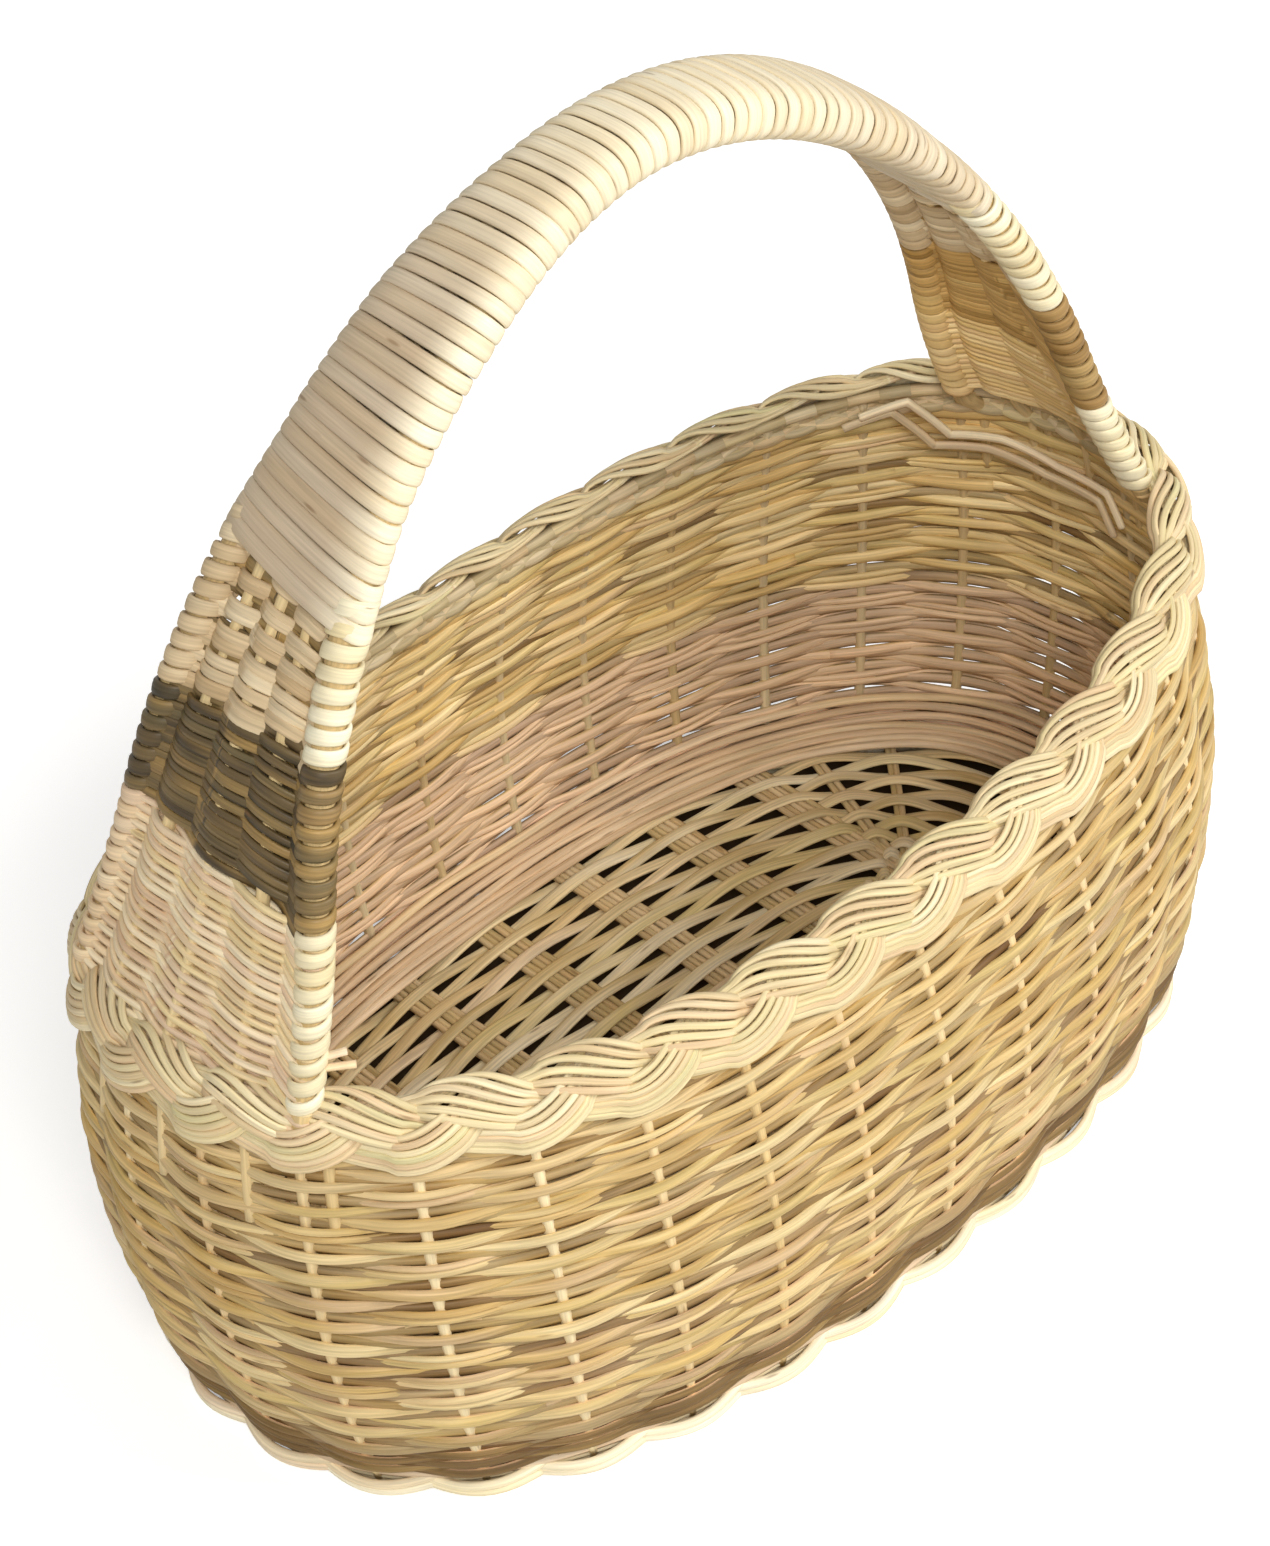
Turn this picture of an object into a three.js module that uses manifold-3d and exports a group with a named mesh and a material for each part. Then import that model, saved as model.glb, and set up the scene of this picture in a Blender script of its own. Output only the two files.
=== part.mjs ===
// A shopping basket of woven willow with a fixed bow handle along its length.
// Millimetres, +Z up, +X along the length, +Y across; the origin is on the floor under the middle.
// The wall is a set of stacked woven rings that share one run of upright stakes. The base is a
// woven oval on cross sticks. Five rods run from one end of the rim to the other as the handle.

import * as THREE from "three";
import Module from "manifold-3d";

// Tub, measured on the outer face of the wall
const footHalfLength = 205;
const footHalfWidth = 121;
const bellyHalfLength = 221;
const bellyHalfWidth = 131;
const bellyHeight = 77;
const rimHalfLength = 210;
const rimHalfWidth = 109;
const wallHeight = 172;
const rimEndLift = 13;
const ovalPower = 2.35;
const wallThickness = 9.6;
const clearance = 0.3;

// Rows of the wall from the floor up
const footBorderHeight = 9;
const footBorderOut = 2.5;
const footBorderTuck = 0.5;
const footBorderIn = 5;
const darkBandHeight = 15;
const lowerWeaveHeight = 76;
const courseHeight = 9.5;
const weaveRelief = 2;
const depthBetweenStakes = 0.35;
const depthBehindStake = 0.65;
const plaitHeight = 22;
const plaitOut = 4.6;
const plaitLowerOut = 3.1;
const plaitUpperOut = 3.6;
const plaitShoulderInset = 0.2;
const plaitCrestInset = 3.2;
const plaitInnerShoulderInset = 7.2;
const plaitBulgeIn = 1.5;

// Upright stakes, which stand in the foot border and end in the plait
const stakePairs = 15;
const stakeDiameter = 4;
const stakeIntoFoot = 5;
const stakeIntoPlait = 6;

// Base
const baseThickness = 9;
const crossStickCount = 7;
const crossStickPitch = 40;
const stickWidth = 12;
const stickThickness = 5;
const endStickGap = 2;
const baseEdgeMargin = 1;
const edgeRodWidth = 7;
const edgeRodThickness = 4;
const edgeRodChamfer = 1;

// Handle: two bows with three ribs between them. Places are in stake steps from an end of the tub.
// It is hand made: it stands a little left, its top leans right, and its left leg is the wider one.
const archRise = 224;
const archDrop = 12;
const archPower = 1.88;
const archShift = -2.5;
const archLean = 6;
const bowPlace = 1.5;
const ribPlace = 0.84;
const legUneven = 0.1;
const socketUneven = 0.17;
const legFlare = 16;
const legFlareHeight = 66;
const spreadPower = 0.93;
const bulgePower = 2.2;
const ribStackFrom = 0.55;
const ribStackTo = 0.85;
const bowFootDiameter = 7.6;
const bowTopDiameter = 11.6;
const bowTipDiameter = 4.2;
const ribDiameter = 4.4;
const ribTipDiameter = 4;
const socketDepth = 50;
const wrapThickness = 1.6;
const legWeaveHeight = 46;
const legDarkHeight = 44;
const legOpenHeight = 40;

// Fineness of the facets
const stakeSides = 5;
const ribSides = 5;
const bowSides = 6;
const archStep = Math.PI / 22;
const coverTurns = 4;

const wasm = await Module();
wasm.setup();

const stakeCount = 2 * stakePairs;
const footTop = footBorderHeight;
const bandTop = footTop + darkBandHeight;
const weaveSplit = bandTop + lowerWeaveHeight;
const plaitFoot = wallHeight - plaitHeight;
const tubLevels = [0, footTop, bandTop, (bandTop + weaveSplit) / 2, weaveSplit, plaitFoot, wallHeight];
const half = clearance / 2;

// Closed solids

// Joins matching point rings into one closed solid, as a tube with two caps or as an endless loop.
function loft(rings, endless = false) {
  const size = rings[0].length;
  const faces = [];
  const spans = endless ? rings.length : rings.length - 1;
  for (let i = 0; i < spans; i += 1) {
    const a = i * size;
    const b = ((i + 1) % rings.length) * size;
    for (let j = 0; j < size; j += 1) {
      const k = (j + 1) % size;
      faces.push([a + j, a + k, b + k]);
      faces.push([a + j, b + k, b + j]);
    }
  }
  if (!endless) {
    const last = (rings.length - 1) * size;
    capFaces(rings[0]).forEach(([a, b, c]) => faces.push([a, c, b]));
    capFaces(rings[rings.length - 1]).forEach(([a, b, c]) => faces.push([last + a, last + b, last + c]));
  }
  return solid(rings.flat(), faces);
}

// Triangles of one flat ring, wound the way the ring runs.
function capFaces(ring) {
  const normal = new THREE.Vector3();
  ring.forEach((point, i) => normal.add(point.clone().cross(ring[(i + 1) % ring.length])));
  normal.normalize();
  const first = ring[1].clone().sub(ring[0]).normalize();
  const second = normal.clone().cross(first);
  const flat = ring.map((point) => new THREE.Vector2(point.dot(first), point.dot(second)));
  return THREE.ShapeUtils.triangulateShape(flat, []).map(([a, b, c]) => {
    const area = flat[b].clone().sub(flat[a]).cross(flat[c].clone().sub(flat[a]));
    return area > 0 ? [a, b, c] : [a, c, b];
  });
}

// A solid of the given points and triangles, turned so that its faces point out.
function solid(points, faces) {
  const volume = faces.reduce((sum, [a, b, c]) => (
    sum + points[a].dot(points[b].clone().cross(points[c]))
  ), 0);
  const outward = volume > 0 ? faces : faces.map(([a, b, c]) => [a, c, b]);
  return new wasm.Manifold(new wasm.Mesh({
    numProp: 3,
    vertProperties: new Float32Array(points.flatMap((point) => point.toArray())),
    triVerts: new Uint32Array(outward.flat()),
  }));
}

function cut(body, tools) {
  return tools.reduce((rest, tool) => rest.subtract(tool), body);
}

// A ring of points round a centre, in the plane of two unit directions.
function circle(centre, across, out, radius, sides) {
  return Array.from({ length: sides }, (_, i) => {
    const turn = (2 * Math.PI * (i + 0.5)) / sides;
    return centre.clone()
      .addScaledVector(across, radius * Math.cos(turn))
      .addScaledVector(out, radius * Math.sin(turn));
  });
}

// The radius whose flats, not corners, stand clear of a rod of the same number of sides.
function clearRadius(radius, sides) {
  return radius + clearance / Math.cos(Math.PI / sides);
}

// The tub's surface

// The parabola through the sizes at the foot, the belly and the rim.
function swell(height, foot, belly, rim) {
  const footShare = ((height - bellyHeight) * (height - wallHeight)) / (bellyHeight * wallHeight);
  const bellyShare = (height * (wallHeight - height)) / (bellyHeight * (wallHeight - bellyHeight));
  const rimShare = (height * (height - bellyHeight)) / (wallHeight * (wallHeight - bellyHeight));
  return foot * footShare + belly * bellyShare + rim * rimShare;
}

// The same size with straight runs between the levels where the rings' corners lie.
function sizeAt(height, foot, belly, rim) {
  const above = Math.max(1, tubLevels.findIndex((level) => level >= height));
  const low = tubLevels[above - 1];
  const high = tubLevels[above];
  const share = (height - low) / (high - low);
  return (1 - share) * swell(low, foot, belly, rim) + share * swell(high, foot, belly, rim);
}

// A point of an oval: |x/a|^p + |y/b|^p = 1, with x/a = r cos t and y/b = r sin t.
function oval(angle, halfLength, halfWidth) {
  const c = Math.cos(angle);
  const s = Math.sin(angle);
  const r = (Math.abs(c) ** ovalPower + Math.abs(s) ** ovalPower) ** (-1 / ovalPower);
  return new THREE.Vector2(halfLength * r * c, halfWidth * r * s);
}

// A point of the wall, inset from its outer face; the ends of the rim are lifted above its middle.
function wallPoint(angle, height, inset) {
  const halfLength = sizeAt(height, footHalfLength, bellyHalfLength, rimHalfLength);
  const halfWidth = sizeAt(height, footHalfWidth, bellyHalfWidth, rimHalfWidth);
  const place = oval(angle, halfLength - inset, halfWidth - inset);
  const climb = Math.max(0, (height - bandTop) / (wallHeight - bandTop));
  const lift = rimEndLift * climb * (place.x / rimHalfLength) ** 2;
  return new THREE.Vector3(place.x, place.y, height + lift);
}

// Running lengths round the belly, so that places can be shared out evenly round it.
const girthSteps = 720;
const girthPoints = Array.from({ length: girthSteps + 1 }, (_, i) => (
  oval((2 * Math.PI * i) / girthSteps, bellyHalfLength, bellyHalfWidth)
));
const girthLengths = girthPoints.reduce((lengths, point, i) => (
  i === 0 ? [0] : [...lengths, lengths[i - 1] + point.distanceTo(girthPoints[i - 1])]
), []);

// The angle at a share of the way round, from the +X end.
function angleAt(share) {
  const length = (((share % 1) + 1) % 1) * girthLengths[girthSteps];
  const after = Math.max(1, girthLengths.findIndex((value) => value >= length));
  const before = girthLengths[after - 1];
  const part = (length - before) / (girthLengths[after] - before);
  return (2 * Math.PI * (after - 1 + part)) / girthSteps;
}

// The rings' corners: the odd ones lie at the stakes, the even ones midway between them.
const ringAngles = Array.from({ length: 2 * stakeCount }, (_, i) => angleAt(i / (2 * stakeCount)));
const stakeAngles = Array.from({ length: stakeCount }, (_, i) => angleAt((i + 0.5) / stakeCount));

// An endless ring whose section is a list of [height, inset] corners.
function ring(corners) {
  return loft(ringAngles.map((angle) => (
    corners.map(([height, inset]) => wallPoint(angle, height, inset))
  )), true);
}

// How deep a corner of the weave's face lies, as a share of the whole relief. A groove runs between
// two courses. A course stands out where it passes in front of a stake and goes back behind the next
// one, and the course above it does the opposite.
function weaveDepth(place, level) {
  if (level % 2 === 0) {
    return 1;
  }
  if (place % 2 === 0) {
    return depthBetweenStakes;
  }
  return (place + level) % 4 === 2 ? 0 : depthBehindStake;
}

// A woven tier of the wall between two heights, in courses that each stand for a few rows of rods.
// Its inner face is woven too, or flat where the base lies against it.
function tier(low, high, isFlatInside = false) {
  const levelCount = 2 * Math.max(1, Math.round((high - low) / courseHeight));
  const levels = Array.from({ length: levelCount + 1 }, (_, i) => i);
  const heights = levels.map((level) => low + ((high - low) * level) / levelCount);
  const innerRelief = isFlatInside ? 0 : weaveRelief;
  return loft(ringAngles.map((angle, place) => {
    const outer = levels.map((level) => weaveRelief * weaveDepth(place, level));
    const inner = levels.map((level) => wallThickness - innerRelief * weaveDepth(place + 2, level));
    return [
      ...levels.map((level) => wallPoint(angle, heights[level], outer[level])),
      ...levels.map((level) => wallPoint(angle, heights[level], inner[level])).reverse(),
    ];
  }), true);
}

// Stakes

const stakeFoot = footTop - stakeIntoFoot;
const stakeTop = plaitFoot + stakeIntoPlait;
const stakeLevels = tubLevels.filter((level) => level > footTop && level < stakeTop);

function stakeRod(angle, radius, low, high) {
  const spine = [low, ...stakeLevels, high].map((height) => wallPoint(angle, height, wallThickness / 2));
  const outward = new THREE.Vector3(Math.cos(angle), Math.sin(angle), 0);
  const along = new THREE.Vector3(-outward.y, outward.x, 0);
  return loft(spine.map((centre) => circle(centre, along, outward, radius, stakeSides)));
}

const stakeRadius = stakeDiameter / 2;
const stakes = stakeAngles.map((angle) => stakeRod(angle, stakeRadius, stakeFoot, stakeTop));
const stakeHoles = stakeAngles.map((angle) => (
  stakeRod(angle, clearRadius(stakeRadius, stakeSides), stakeFoot - clearance, stakeTop + clearance)
));

// Handle rods

const rodPlaces = [-bowPlace, -ribPlace, 0, ribPlace, bowPlace];
const springHeight = wallHeight - archDrop;

// A point in the middle of the wall's thickness.
function rodFoot(place, height) {
  return wallPoint(angleAt(place / stakeCount), height, wallThickness / 2);
}

const bowFoot = rodFoot(bowPlace, springHeight);
const archHalfSpan = bowFoot.x - legFlare;
const springZ = bowFoot.z;
const archTopZ = wallHeight + archRise;
const archHeight = archTopZ - springZ;
const gripBowAcross = ribDiameter / 2 + clearance * 2 + bowTopDiameter / 2;
const ribStack = ribDiameter + clearance * 2;

// A point of the arch's middle line, with how far up it is and which leg it belongs to.
function arch(turn) {
  const c = Math.cos(turn);
  const s = Math.sin(turn);
  const r = (Math.abs(c) ** archPower + Math.abs(s) ** archPower) ** (-1 / archPower);
  const rise = s * r;
  const x = archShift - archHalfSpan * c * r + archLean * rise * rise;
  return { place: new THREE.Vector3(x, 0, springZ + archHeight * rise), rise, side: c > 0 ? -1 : 1 };
}

// The same point with the direction that leaves the arch outward.
function archStation(turn) {
  const step = 1e-3;
  const before = arch(Math.max(0, turn - step)).place;
  const after = arch(Math.min(Math.PI, turn + step)).place;
  const way = after.sub(before).normalize();
  const station = arch(turn);
  return { ...station, out: new THREE.Vector3(-way.z, 0, way.x), turn };
}

// Where a rod runs in the section at a station: across the handle, outward, and its radius.
function rodInSection(place, { rise, side }) {
  const foot = rodFoot(place, springHeight);
  const down = Math.max(0, 1 - rise);
  const isBow = Math.abs(place) === bowPlace;
  const top = isBow ? (gripBowAcross * place) / bowPlace : 0;
  const across = top + (foot.y * (1 - side * legUneven) - top) * down ** spreadPower;
  const bulge = (foot.x - bowFoot.x) * down ** bulgePower;
  const flare = legFlare * Math.max(0, 1 - (archHeight * rise) / legFlareHeight) ** 2;
  const gathered = THREE.MathUtils.smoothstep(rise, ribStackFrom, ribStackTo);
  const stacked = isBow ? 0 : Math.sign(place) * ribStack * gathered;
  const thick = isBow ? THREE.MathUtils.lerp(bowFootDiameter, bowTopDiameter, rise) : ribDiameter;
  return { across, out: bulge + flare + stacked, radius: thick / 2 };
}

const acrossHandle = new THREE.Vector3(0, 1, 0);
const archTurns = Array.from({ length: Math.round(Math.PI / archStep) + 1 }, (_, i) => i * archStep);

// One handle rod from socket to socket, or the hole that it runs in. The sockets keep clear of the stakes.
function handleRod(place, isHole) {
  const isBow = Math.abs(place) === bowPlace;
  const sides = isBow ? bowSides : ribSides;
  const tip = (isBow ? bowTipDiameter : ribTipDiameter) / 2;
  const fit = (radius) => (isHole ? clearRadius(radius, sides) : radius);
  const bottom = wallHeight - socketDepth - (isHole ? clearance : 0);
  const socket = (side) => [bottom, plaitFoot].map((height) => {
    const foot = rodFoot(place * (1 - side * socketUneven), height);
    const centre = new THREE.Vector3(side * foot.x, foot.y, foot.z);
    return circle(centre, acrossHandle, new THREE.Vector3(side, 0, 0), fit(tip), sides);
  });
  const over = archTurns.map((turn) => {
    const station = archStation(turn);
    const rod = rodInSection(place, station);
    const centre = station.place.clone()
      .addScaledVector(acrossHandle, rod.across)
      .addScaledVector(station.out, rod.out);
    return circle(centre, acrossHandle, station.out, fit(rod.radius), sides);
  });
  return loft([...socket(-1), ...over, ...socket(1).reverse()]);
}

const rods = rodPlaces.map((place) => handleRod(place, false));
const rodHoles = rodPlaces.map((place) => handleRod(place, true));

// The weave or wrap round the rods

// The outline of the cover in one section: round each bow, and over and under the ribs.
function coverOutline(station) {
  const wrap = clearance * 2 + wrapThickness;
  const section = rodPlaces.map((place) => rodInSection(place, station));
  const ribs = section.slice(1, -1);
  const reach = (across, side) => Math.max(...ribs.map((rib) => {
    const radius = rib.radius + wrap;
    const off = Math.min(Math.abs(across - rib.across), radius);
    const height = Math.sqrt(radius * radius - off * off);
    return off < radius ? side * rib.out + height : -Infinity;
  }));
  const ribAcross = ribs.map((rib, i) => (
    i === 1 ? 0 : Math.sign(i - 1) * Math.max(Math.abs(rib.across), rib.radius)
  ));
  const round = (rod, from) => Array.from({ length: coverTurns + 1 }, (_, i) => {
    const turn = from + (i * Math.PI) / coverTurns;
    const radius = rod.radius + wrap;
    return [rod.across + radius * Math.cos(turn), rod.out + radius * Math.sin(turn)];
  });
  const over = ribAcross.map((across) => [across, reach(across, 1)]).reverse();
  const under = ribAcross.map((across) => [across, -reach(across, -1)]);
  const outline = [
    ...round(section[section.length - 1], -Math.PI / 2),
    ...over,
    ...round(section[0], Math.PI / 2),
    ...under,
  ];
  return outline.map(([across, out]) => station.place.clone()
    .addScaledVector(acrossHandle, across)
    .addScaledVector(station.out, out));
}

// The turn at which the arch's left side reaches a height, by halving.
function turnAtHeight(height) {
  let low = 0;
  let high = Math.PI / 2;
  for (let i = 0; i < 40; i += 1) {
    const middle = (low + high) / 2;
    if (arch(middle).place.z < height) {
      low = middle;
    } else {
      high = middle;
    }
  }
  return low;
}

// A cover between two turns of the arch, cut by the holes of the rods.
function cover(from, to) {
  const between = archTurns.filter((turn) => turn > from + archStep / 4 && turn < to - archStep / 4);
  const stations = [from, ...between, to].map(archStation);
  return cut(loft(stations.map(coverOutline)), rodHoles);
}

const crestZ = wallPoint(0, wallHeight, plaitCrestInset).z;
const legWeaveZ = crestZ + legWeaveHeight;
const legDarkZ = legWeaveZ + legDarkHeight;
const legOpenZ = legDarkZ + legOpenHeight;
const wrapTurn = turnAtHeight(legOpenZ + half);

// One part of both legs, between two heights of the arch.
function legCovers(low, high) {
  const from = turnAtHeight(low + half);
  const to = turnAtHeight(high - half);
  return { left: cover(from, to), right: cover(Math.PI - to, Math.PI - from) };
}

// Base

const baseLow = footTop + clearance;
const baseHigh = baseLow + baseThickness;
const stickMiddle = (baseLow + baseHigh) / 2;
const baseInset = wallThickness + clearance;

// A flat bundle of rods between two points on the base, with its long edges taken off.
// The hole that it lies in is larger all round and runs out through the edge of the base.
function baseStick(from, to, isHole) {
  const grow = isHole ? clearance : 0;
  const beyond = isHole ? stickWidth : 0;
  const along = to.clone().sub(from).normalize();
  const side = new THREE.Vector3(-along.y, along.x, 0);
  const wide = stickWidth / 2 + grow;
  const thick = stickThickness / 2 + grow;
  const edge = stickThickness / 4;
  const corners = [[wide, thick - edge], [wide - edge, thick], [edge - wide, thick], [-wide, thick - edge],
    [-wide, edge - thick], [edge - wide, -thick], [wide - edge, -thick], [wide, edge - thick]];
  const inner = Math.abs(from.y) > 0 ? beyond : grow;
  const ends = [from.clone().addScaledVector(along, -inner), to.clone().addScaledVector(along, beyond)];
  return loft(ends.map((end) => corners.map(([across, up]) => (
    new THREE.Vector3(end.x + across * side.x, end.y + across * side.y, stickMiddle + up)
  ))));
}

// How far the base reaches across at a place along its length, less the width of a stick's corner.
function baseReach(x) {
  const halfLength = sizeAt(stickMiddle, footHalfLength, bellyHalfLength, rimHalfLength) - baseInset;
  const halfWidth = sizeAt(stickMiddle, footHalfWidth, bellyHalfWidth, rimHalfWidth) - baseInset;
  const share = Math.min(1, (Math.abs(x) + stickWidth / 2) / halfLength);
  return halfWidth * (1 - share ** ovalPower) ** (1 / ovalPower) - baseEdgeMargin;
}

const crossPlaces = Array.from({ length: crossStickCount }, (_, i) => (
  (i - (crossStickCount - 1) / 2) * crossStickPitch
));
const crossEnds = crossPlaces.map((x) => [
  new THREE.Vector3(x, -baseReach(x), 0),
  new THREE.Vector3(x, baseReach(x), 0),
]);
const endStickStart = Math.max(...crossPlaces) + stickWidth / 2 + endStickGap;
const baseHalfLength = sizeAt(stickMiddle, footHalfLength, bellyHalfLength, rimHalfLength) - baseInset;
const endStickReach = baseHalfLength - baseEdgeMargin;
const endSticks = [-1, 1].map((side) => [
  new THREE.Vector3(side * endStickStart, 0, 0),
  new THREE.Vector3(side * endStickReach, 0, 0),
]);

// The woven oval, whose edge follows the lean of the wall.
function basePlate() {
  return loft([baseLow, baseHigh].map((height) => (
    ringAngles.map((angle) => wallPoint(angle, height, baseInset))
  )));
}

// Assembly

const colours = {
  plait: "#e6d9ae",
  weave: "#c9a765",
  closeWeave: "#bf9856",
  dark: "#6f5a37",
  stake: "#d6bd86",
  base: "#8d7748",
  stick: "#8a744a",
  wrap: "#ddcb9b",
  bow: "#c8ad74",
};

const group = new THREE.Group();

function place(name, body, colour) {
  const made = body.getMesh();
  const geometry = new THREE.BufferGeometry();
  geometry.setAttribute("position", new THREE.BufferAttribute(new Float32Array(made.vertProperties), 3));
  geometry.setIndex(new THREE.BufferAttribute(new Uint32Array(made.triVerts), 1));
  geometry.computeVertexNormals();
  const material = new THREE.MeshStandardMaterial({ color: colour, roughness: 0.62, metalness: 0 });
  const mesh = new THREE.Mesh(geometry, material);
  mesh.name = name;
  group.add(mesh);
}

const footInner = wallThickness + footBorderIn;

// A ring whose section is given as shares of its height, each with its inset.
function border(low, high, corners) {
  return ring(corners.map(([share, inset]) => [low + share * (high - low), inset]));
}

const footBorder = border(0, footTop - half, [
  [0, -footBorderTuck],
  [0.3, -footBorderOut],
  [0.8, -footBorderOut],
  [1, 0],
  [1, footInner],
  [0, footInner],
]);
const plait = border(plaitFoot + half, wallHeight, [
  [0, -plaitLowerOut],
  [0.25, -plaitOut],
  [0.65, -plaitUpperOut],
  [0.92, plaitShoulderInset],
  [1, plaitCrestInset],
  [0.86, plaitInnerShoulderInset],
  [0.3, wallThickness + plaitBulgeIn],
  [0, wallThickness],
]);
place("foot_border", cut(footBorder, stakeHoles), colours.plait);
place("dark_band", cut(tier(footTop + half, bandTop - half, true), stakeHoles), colours.dark);
place("side_weave_lower", cut(tier(bandTop + half, weaveSplit - half), stakeHoles), colours.weave);
const upperTier = tier(weaveSplit + half, plaitFoot - half);
const rimHoles = [...stakeHoles, ...rodHoles];
place("side_weave_upper", cut(upperTier, rimHoles), colours.closeWeave);
place("rim_plait", cut(plait, rimHoles), colours.plait);

stakes.forEach((stake, i) => {
  place(`stake_${String(i + 1).padStart(2, "0")}`, stake, colours.stake);
});

const stickHoles = [...crossEnds, ...endSticks].map(([from, to]) => baseStick(from, to, true));
place("base_weave", cut(basePlate(), stickHoles), colours.base);
crossEnds.forEach(([from, to], i) => {
  place(`base_cross_stick_${i + 1}`, baseStick(from, to, false), colours.stick);
});
endSticks.forEach(([from, to], i) => {
  place(`base_end_stick_${["left", "right"][i]}`, baseStick(from, to, false), colours.stick);
});
const edgeLow = baseHigh + clearance;
place("base_edge_rod", ring([
  [edgeLow, baseInset],
  [edgeLow + edgeRodThickness, baseInset],
  [edgeLow + edgeRodThickness, baseInset + edgeRodWidth - edgeRodChamfer],
  [edgeLow + edgeRodThickness / 2, baseInset + edgeRodWidth],
  [edgeLow, baseInset + edgeRodWidth],
]), colours.stick);

const rodNames = ["handle_bow_near", "handle_rib_near", "handle_rib_middle", "handle_rib_far", "handle_bow_far"];
rods.forEach((rod, i) => {
  place(rodNames[i], rod, rodNames[i].includes("bow") ? colours.bow : colours.stake);
});

const legParts = [
  ["leg_weave", legCovers(crestZ, legWeaveZ), colours.closeWeave],
  ["leg_dark_band", legCovers(legWeaveZ, legDarkZ), colours.dark],
  ["leg_open_weave", legCovers(legDarkZ, legOpenZ), colours.weave],
];
legParts.forEach(([name, covers, colour]) => {
  place(`${name}_left`, covers.left, colour);
  place(`${name}_right`, covers.right, colour);
});
place("handle_wrap", cover(wrapTurn, Math.PI - wrapTurn), colours.wrap);

export default group;
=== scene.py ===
import bpy
import numpy as np
from mathutils import Matrix


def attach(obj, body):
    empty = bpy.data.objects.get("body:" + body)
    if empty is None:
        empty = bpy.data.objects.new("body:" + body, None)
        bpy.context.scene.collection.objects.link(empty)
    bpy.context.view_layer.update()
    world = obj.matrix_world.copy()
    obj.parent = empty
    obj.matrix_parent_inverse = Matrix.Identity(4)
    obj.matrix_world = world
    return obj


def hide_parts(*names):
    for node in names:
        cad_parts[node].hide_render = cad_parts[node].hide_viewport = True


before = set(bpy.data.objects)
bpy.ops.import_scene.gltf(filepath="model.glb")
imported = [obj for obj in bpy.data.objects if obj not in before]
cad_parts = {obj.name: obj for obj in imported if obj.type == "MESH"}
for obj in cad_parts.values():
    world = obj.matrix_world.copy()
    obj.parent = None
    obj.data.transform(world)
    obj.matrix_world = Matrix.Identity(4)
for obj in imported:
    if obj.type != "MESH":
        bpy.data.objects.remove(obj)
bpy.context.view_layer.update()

# Camera. It stands in front of the left end and above the rim, and looks down at 42 degrees.
# The place, the lens and the small shift were solved from the rim, the foot and the handle.
AZIMUTH, ELEVATION, ROLL = np.radians([-42.9, 42.0, -4.1])
CAMERA_PLACE = (-0.7581, -0.8596, 1.1750)
SENSOR_SIDE, LENS_PIXELS, CENTRE_PIXELS, IMAGE_HEIGHT = 36.0, 4701.4, (116.0, 5.8), 1546
# The camera's axes: back = (sin a cos e, -cos a cos e, sin e), and right and up turn about it by the roll.
back = np.array([np.sin(AZIMUTH) * np.cos(ELEVATION), -np.cos(AZIMUTH) * np.cos(ELEVATION), np.sin(ELEVATION)])
level = np.array([np.cos(AZIMUTH), np.sin(AZIMUTH), 0.0])
above = np.cross(back, level)
right = np.cos(ROLL) * level + np.sin(ROLL) * above
up = np.cos(ROLL) * above - np.sin(ROLL) * level
camera_data = bpy.data.cameras.new("camera")
camera_data.sensor_width = SENSOR_SIDE
camera_data.lens = LENS_PIXELS * SENSOR_SIDE / IMAGE_HEIGHT
camera_data.shift_x = -CENTRE_PIXELS[0] / IMAGE_HEIGHT
camera_data.shift_y = CENTRE_PIXELS[1] / IMAGE_HEIGHT
camera_data.clip_end = 50.0
camera = bpy.data.objects.new("camera", camera_data)
bpy.context.collection.objects.link(camera)
turn = np.column_stack([right, up, back])
camera.matrix_world = Matrix.Translation(CAMERA_PLACE) @ Matrix(turn.tolist()).to_4x4()
bpy.context.scene.camera = camera

# Floor and light. The basket stands on a plain white sweep, lit by a soft lamp from the front right,
# a wider one from the front left that reaches into the basket, and an even pale surround.
FLOOR_HALF, FLOOR_COLOUR, FLOOR_PAINTED_SHADE, FLOOR_GLOW, PAPER_FIBRE = 12.0, "#f6f5f3", "#4b3a26", 0.42, 0.0025
SHADE_HALF, SHADE_SHIFT, SHADE_RIM, OVAL_POWER = (0.204, 0.12), (-0.016, -0.034), (0.96, 1.02), 2.35
SURROUND_STRENGTH, LAMP_AIM = 0.3, (0.0, 0.0, 0.15)


def unit(vector):
    """The vector divided by its length."""
    return vector / np.linalg.norm(vector, axis=-1, keepdims=True)


def linear(code):
    """Linear colour of an sRGB hex code: c/12.92 below 0.04045, else ((c + 0.055) / 1.055)^2.4."""
    c = np.array([int(code[i:i + 2], 16) for i in (1, 3, 5)]) / 255.0
    return (*np.where(c < 0.04045, c / 12.92, ((c + 0.055) / 1.055) ** 2.4).tolist(), 1.0)


def add(tree, kind, inputs=None, out=0, **settings):
    """Adds a node with its settings and hands back one of its outputs. An input takes a value or such an output."""
    node = tree.nodes.new("ShaderNode" + kind)
    for key, value in settings.items():
        setattr(node, key, value)
    for key, value in (inputs or {}).items():
        if isinstance(value, bpy.types.NodeSocket):
            tree.links.new(value, node.inputs[key])
        else:
            node.inputs[key].default_value = value
    return node.outputs[out] if node.outputs else None


def new_tree(name):
    """A new material and its empty node tree."""
    material = bpy.data.materials.new(name)
    material.use_nodes = True
    material.node_tree.nodes.clear()
    return material, material.node_tree
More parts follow.
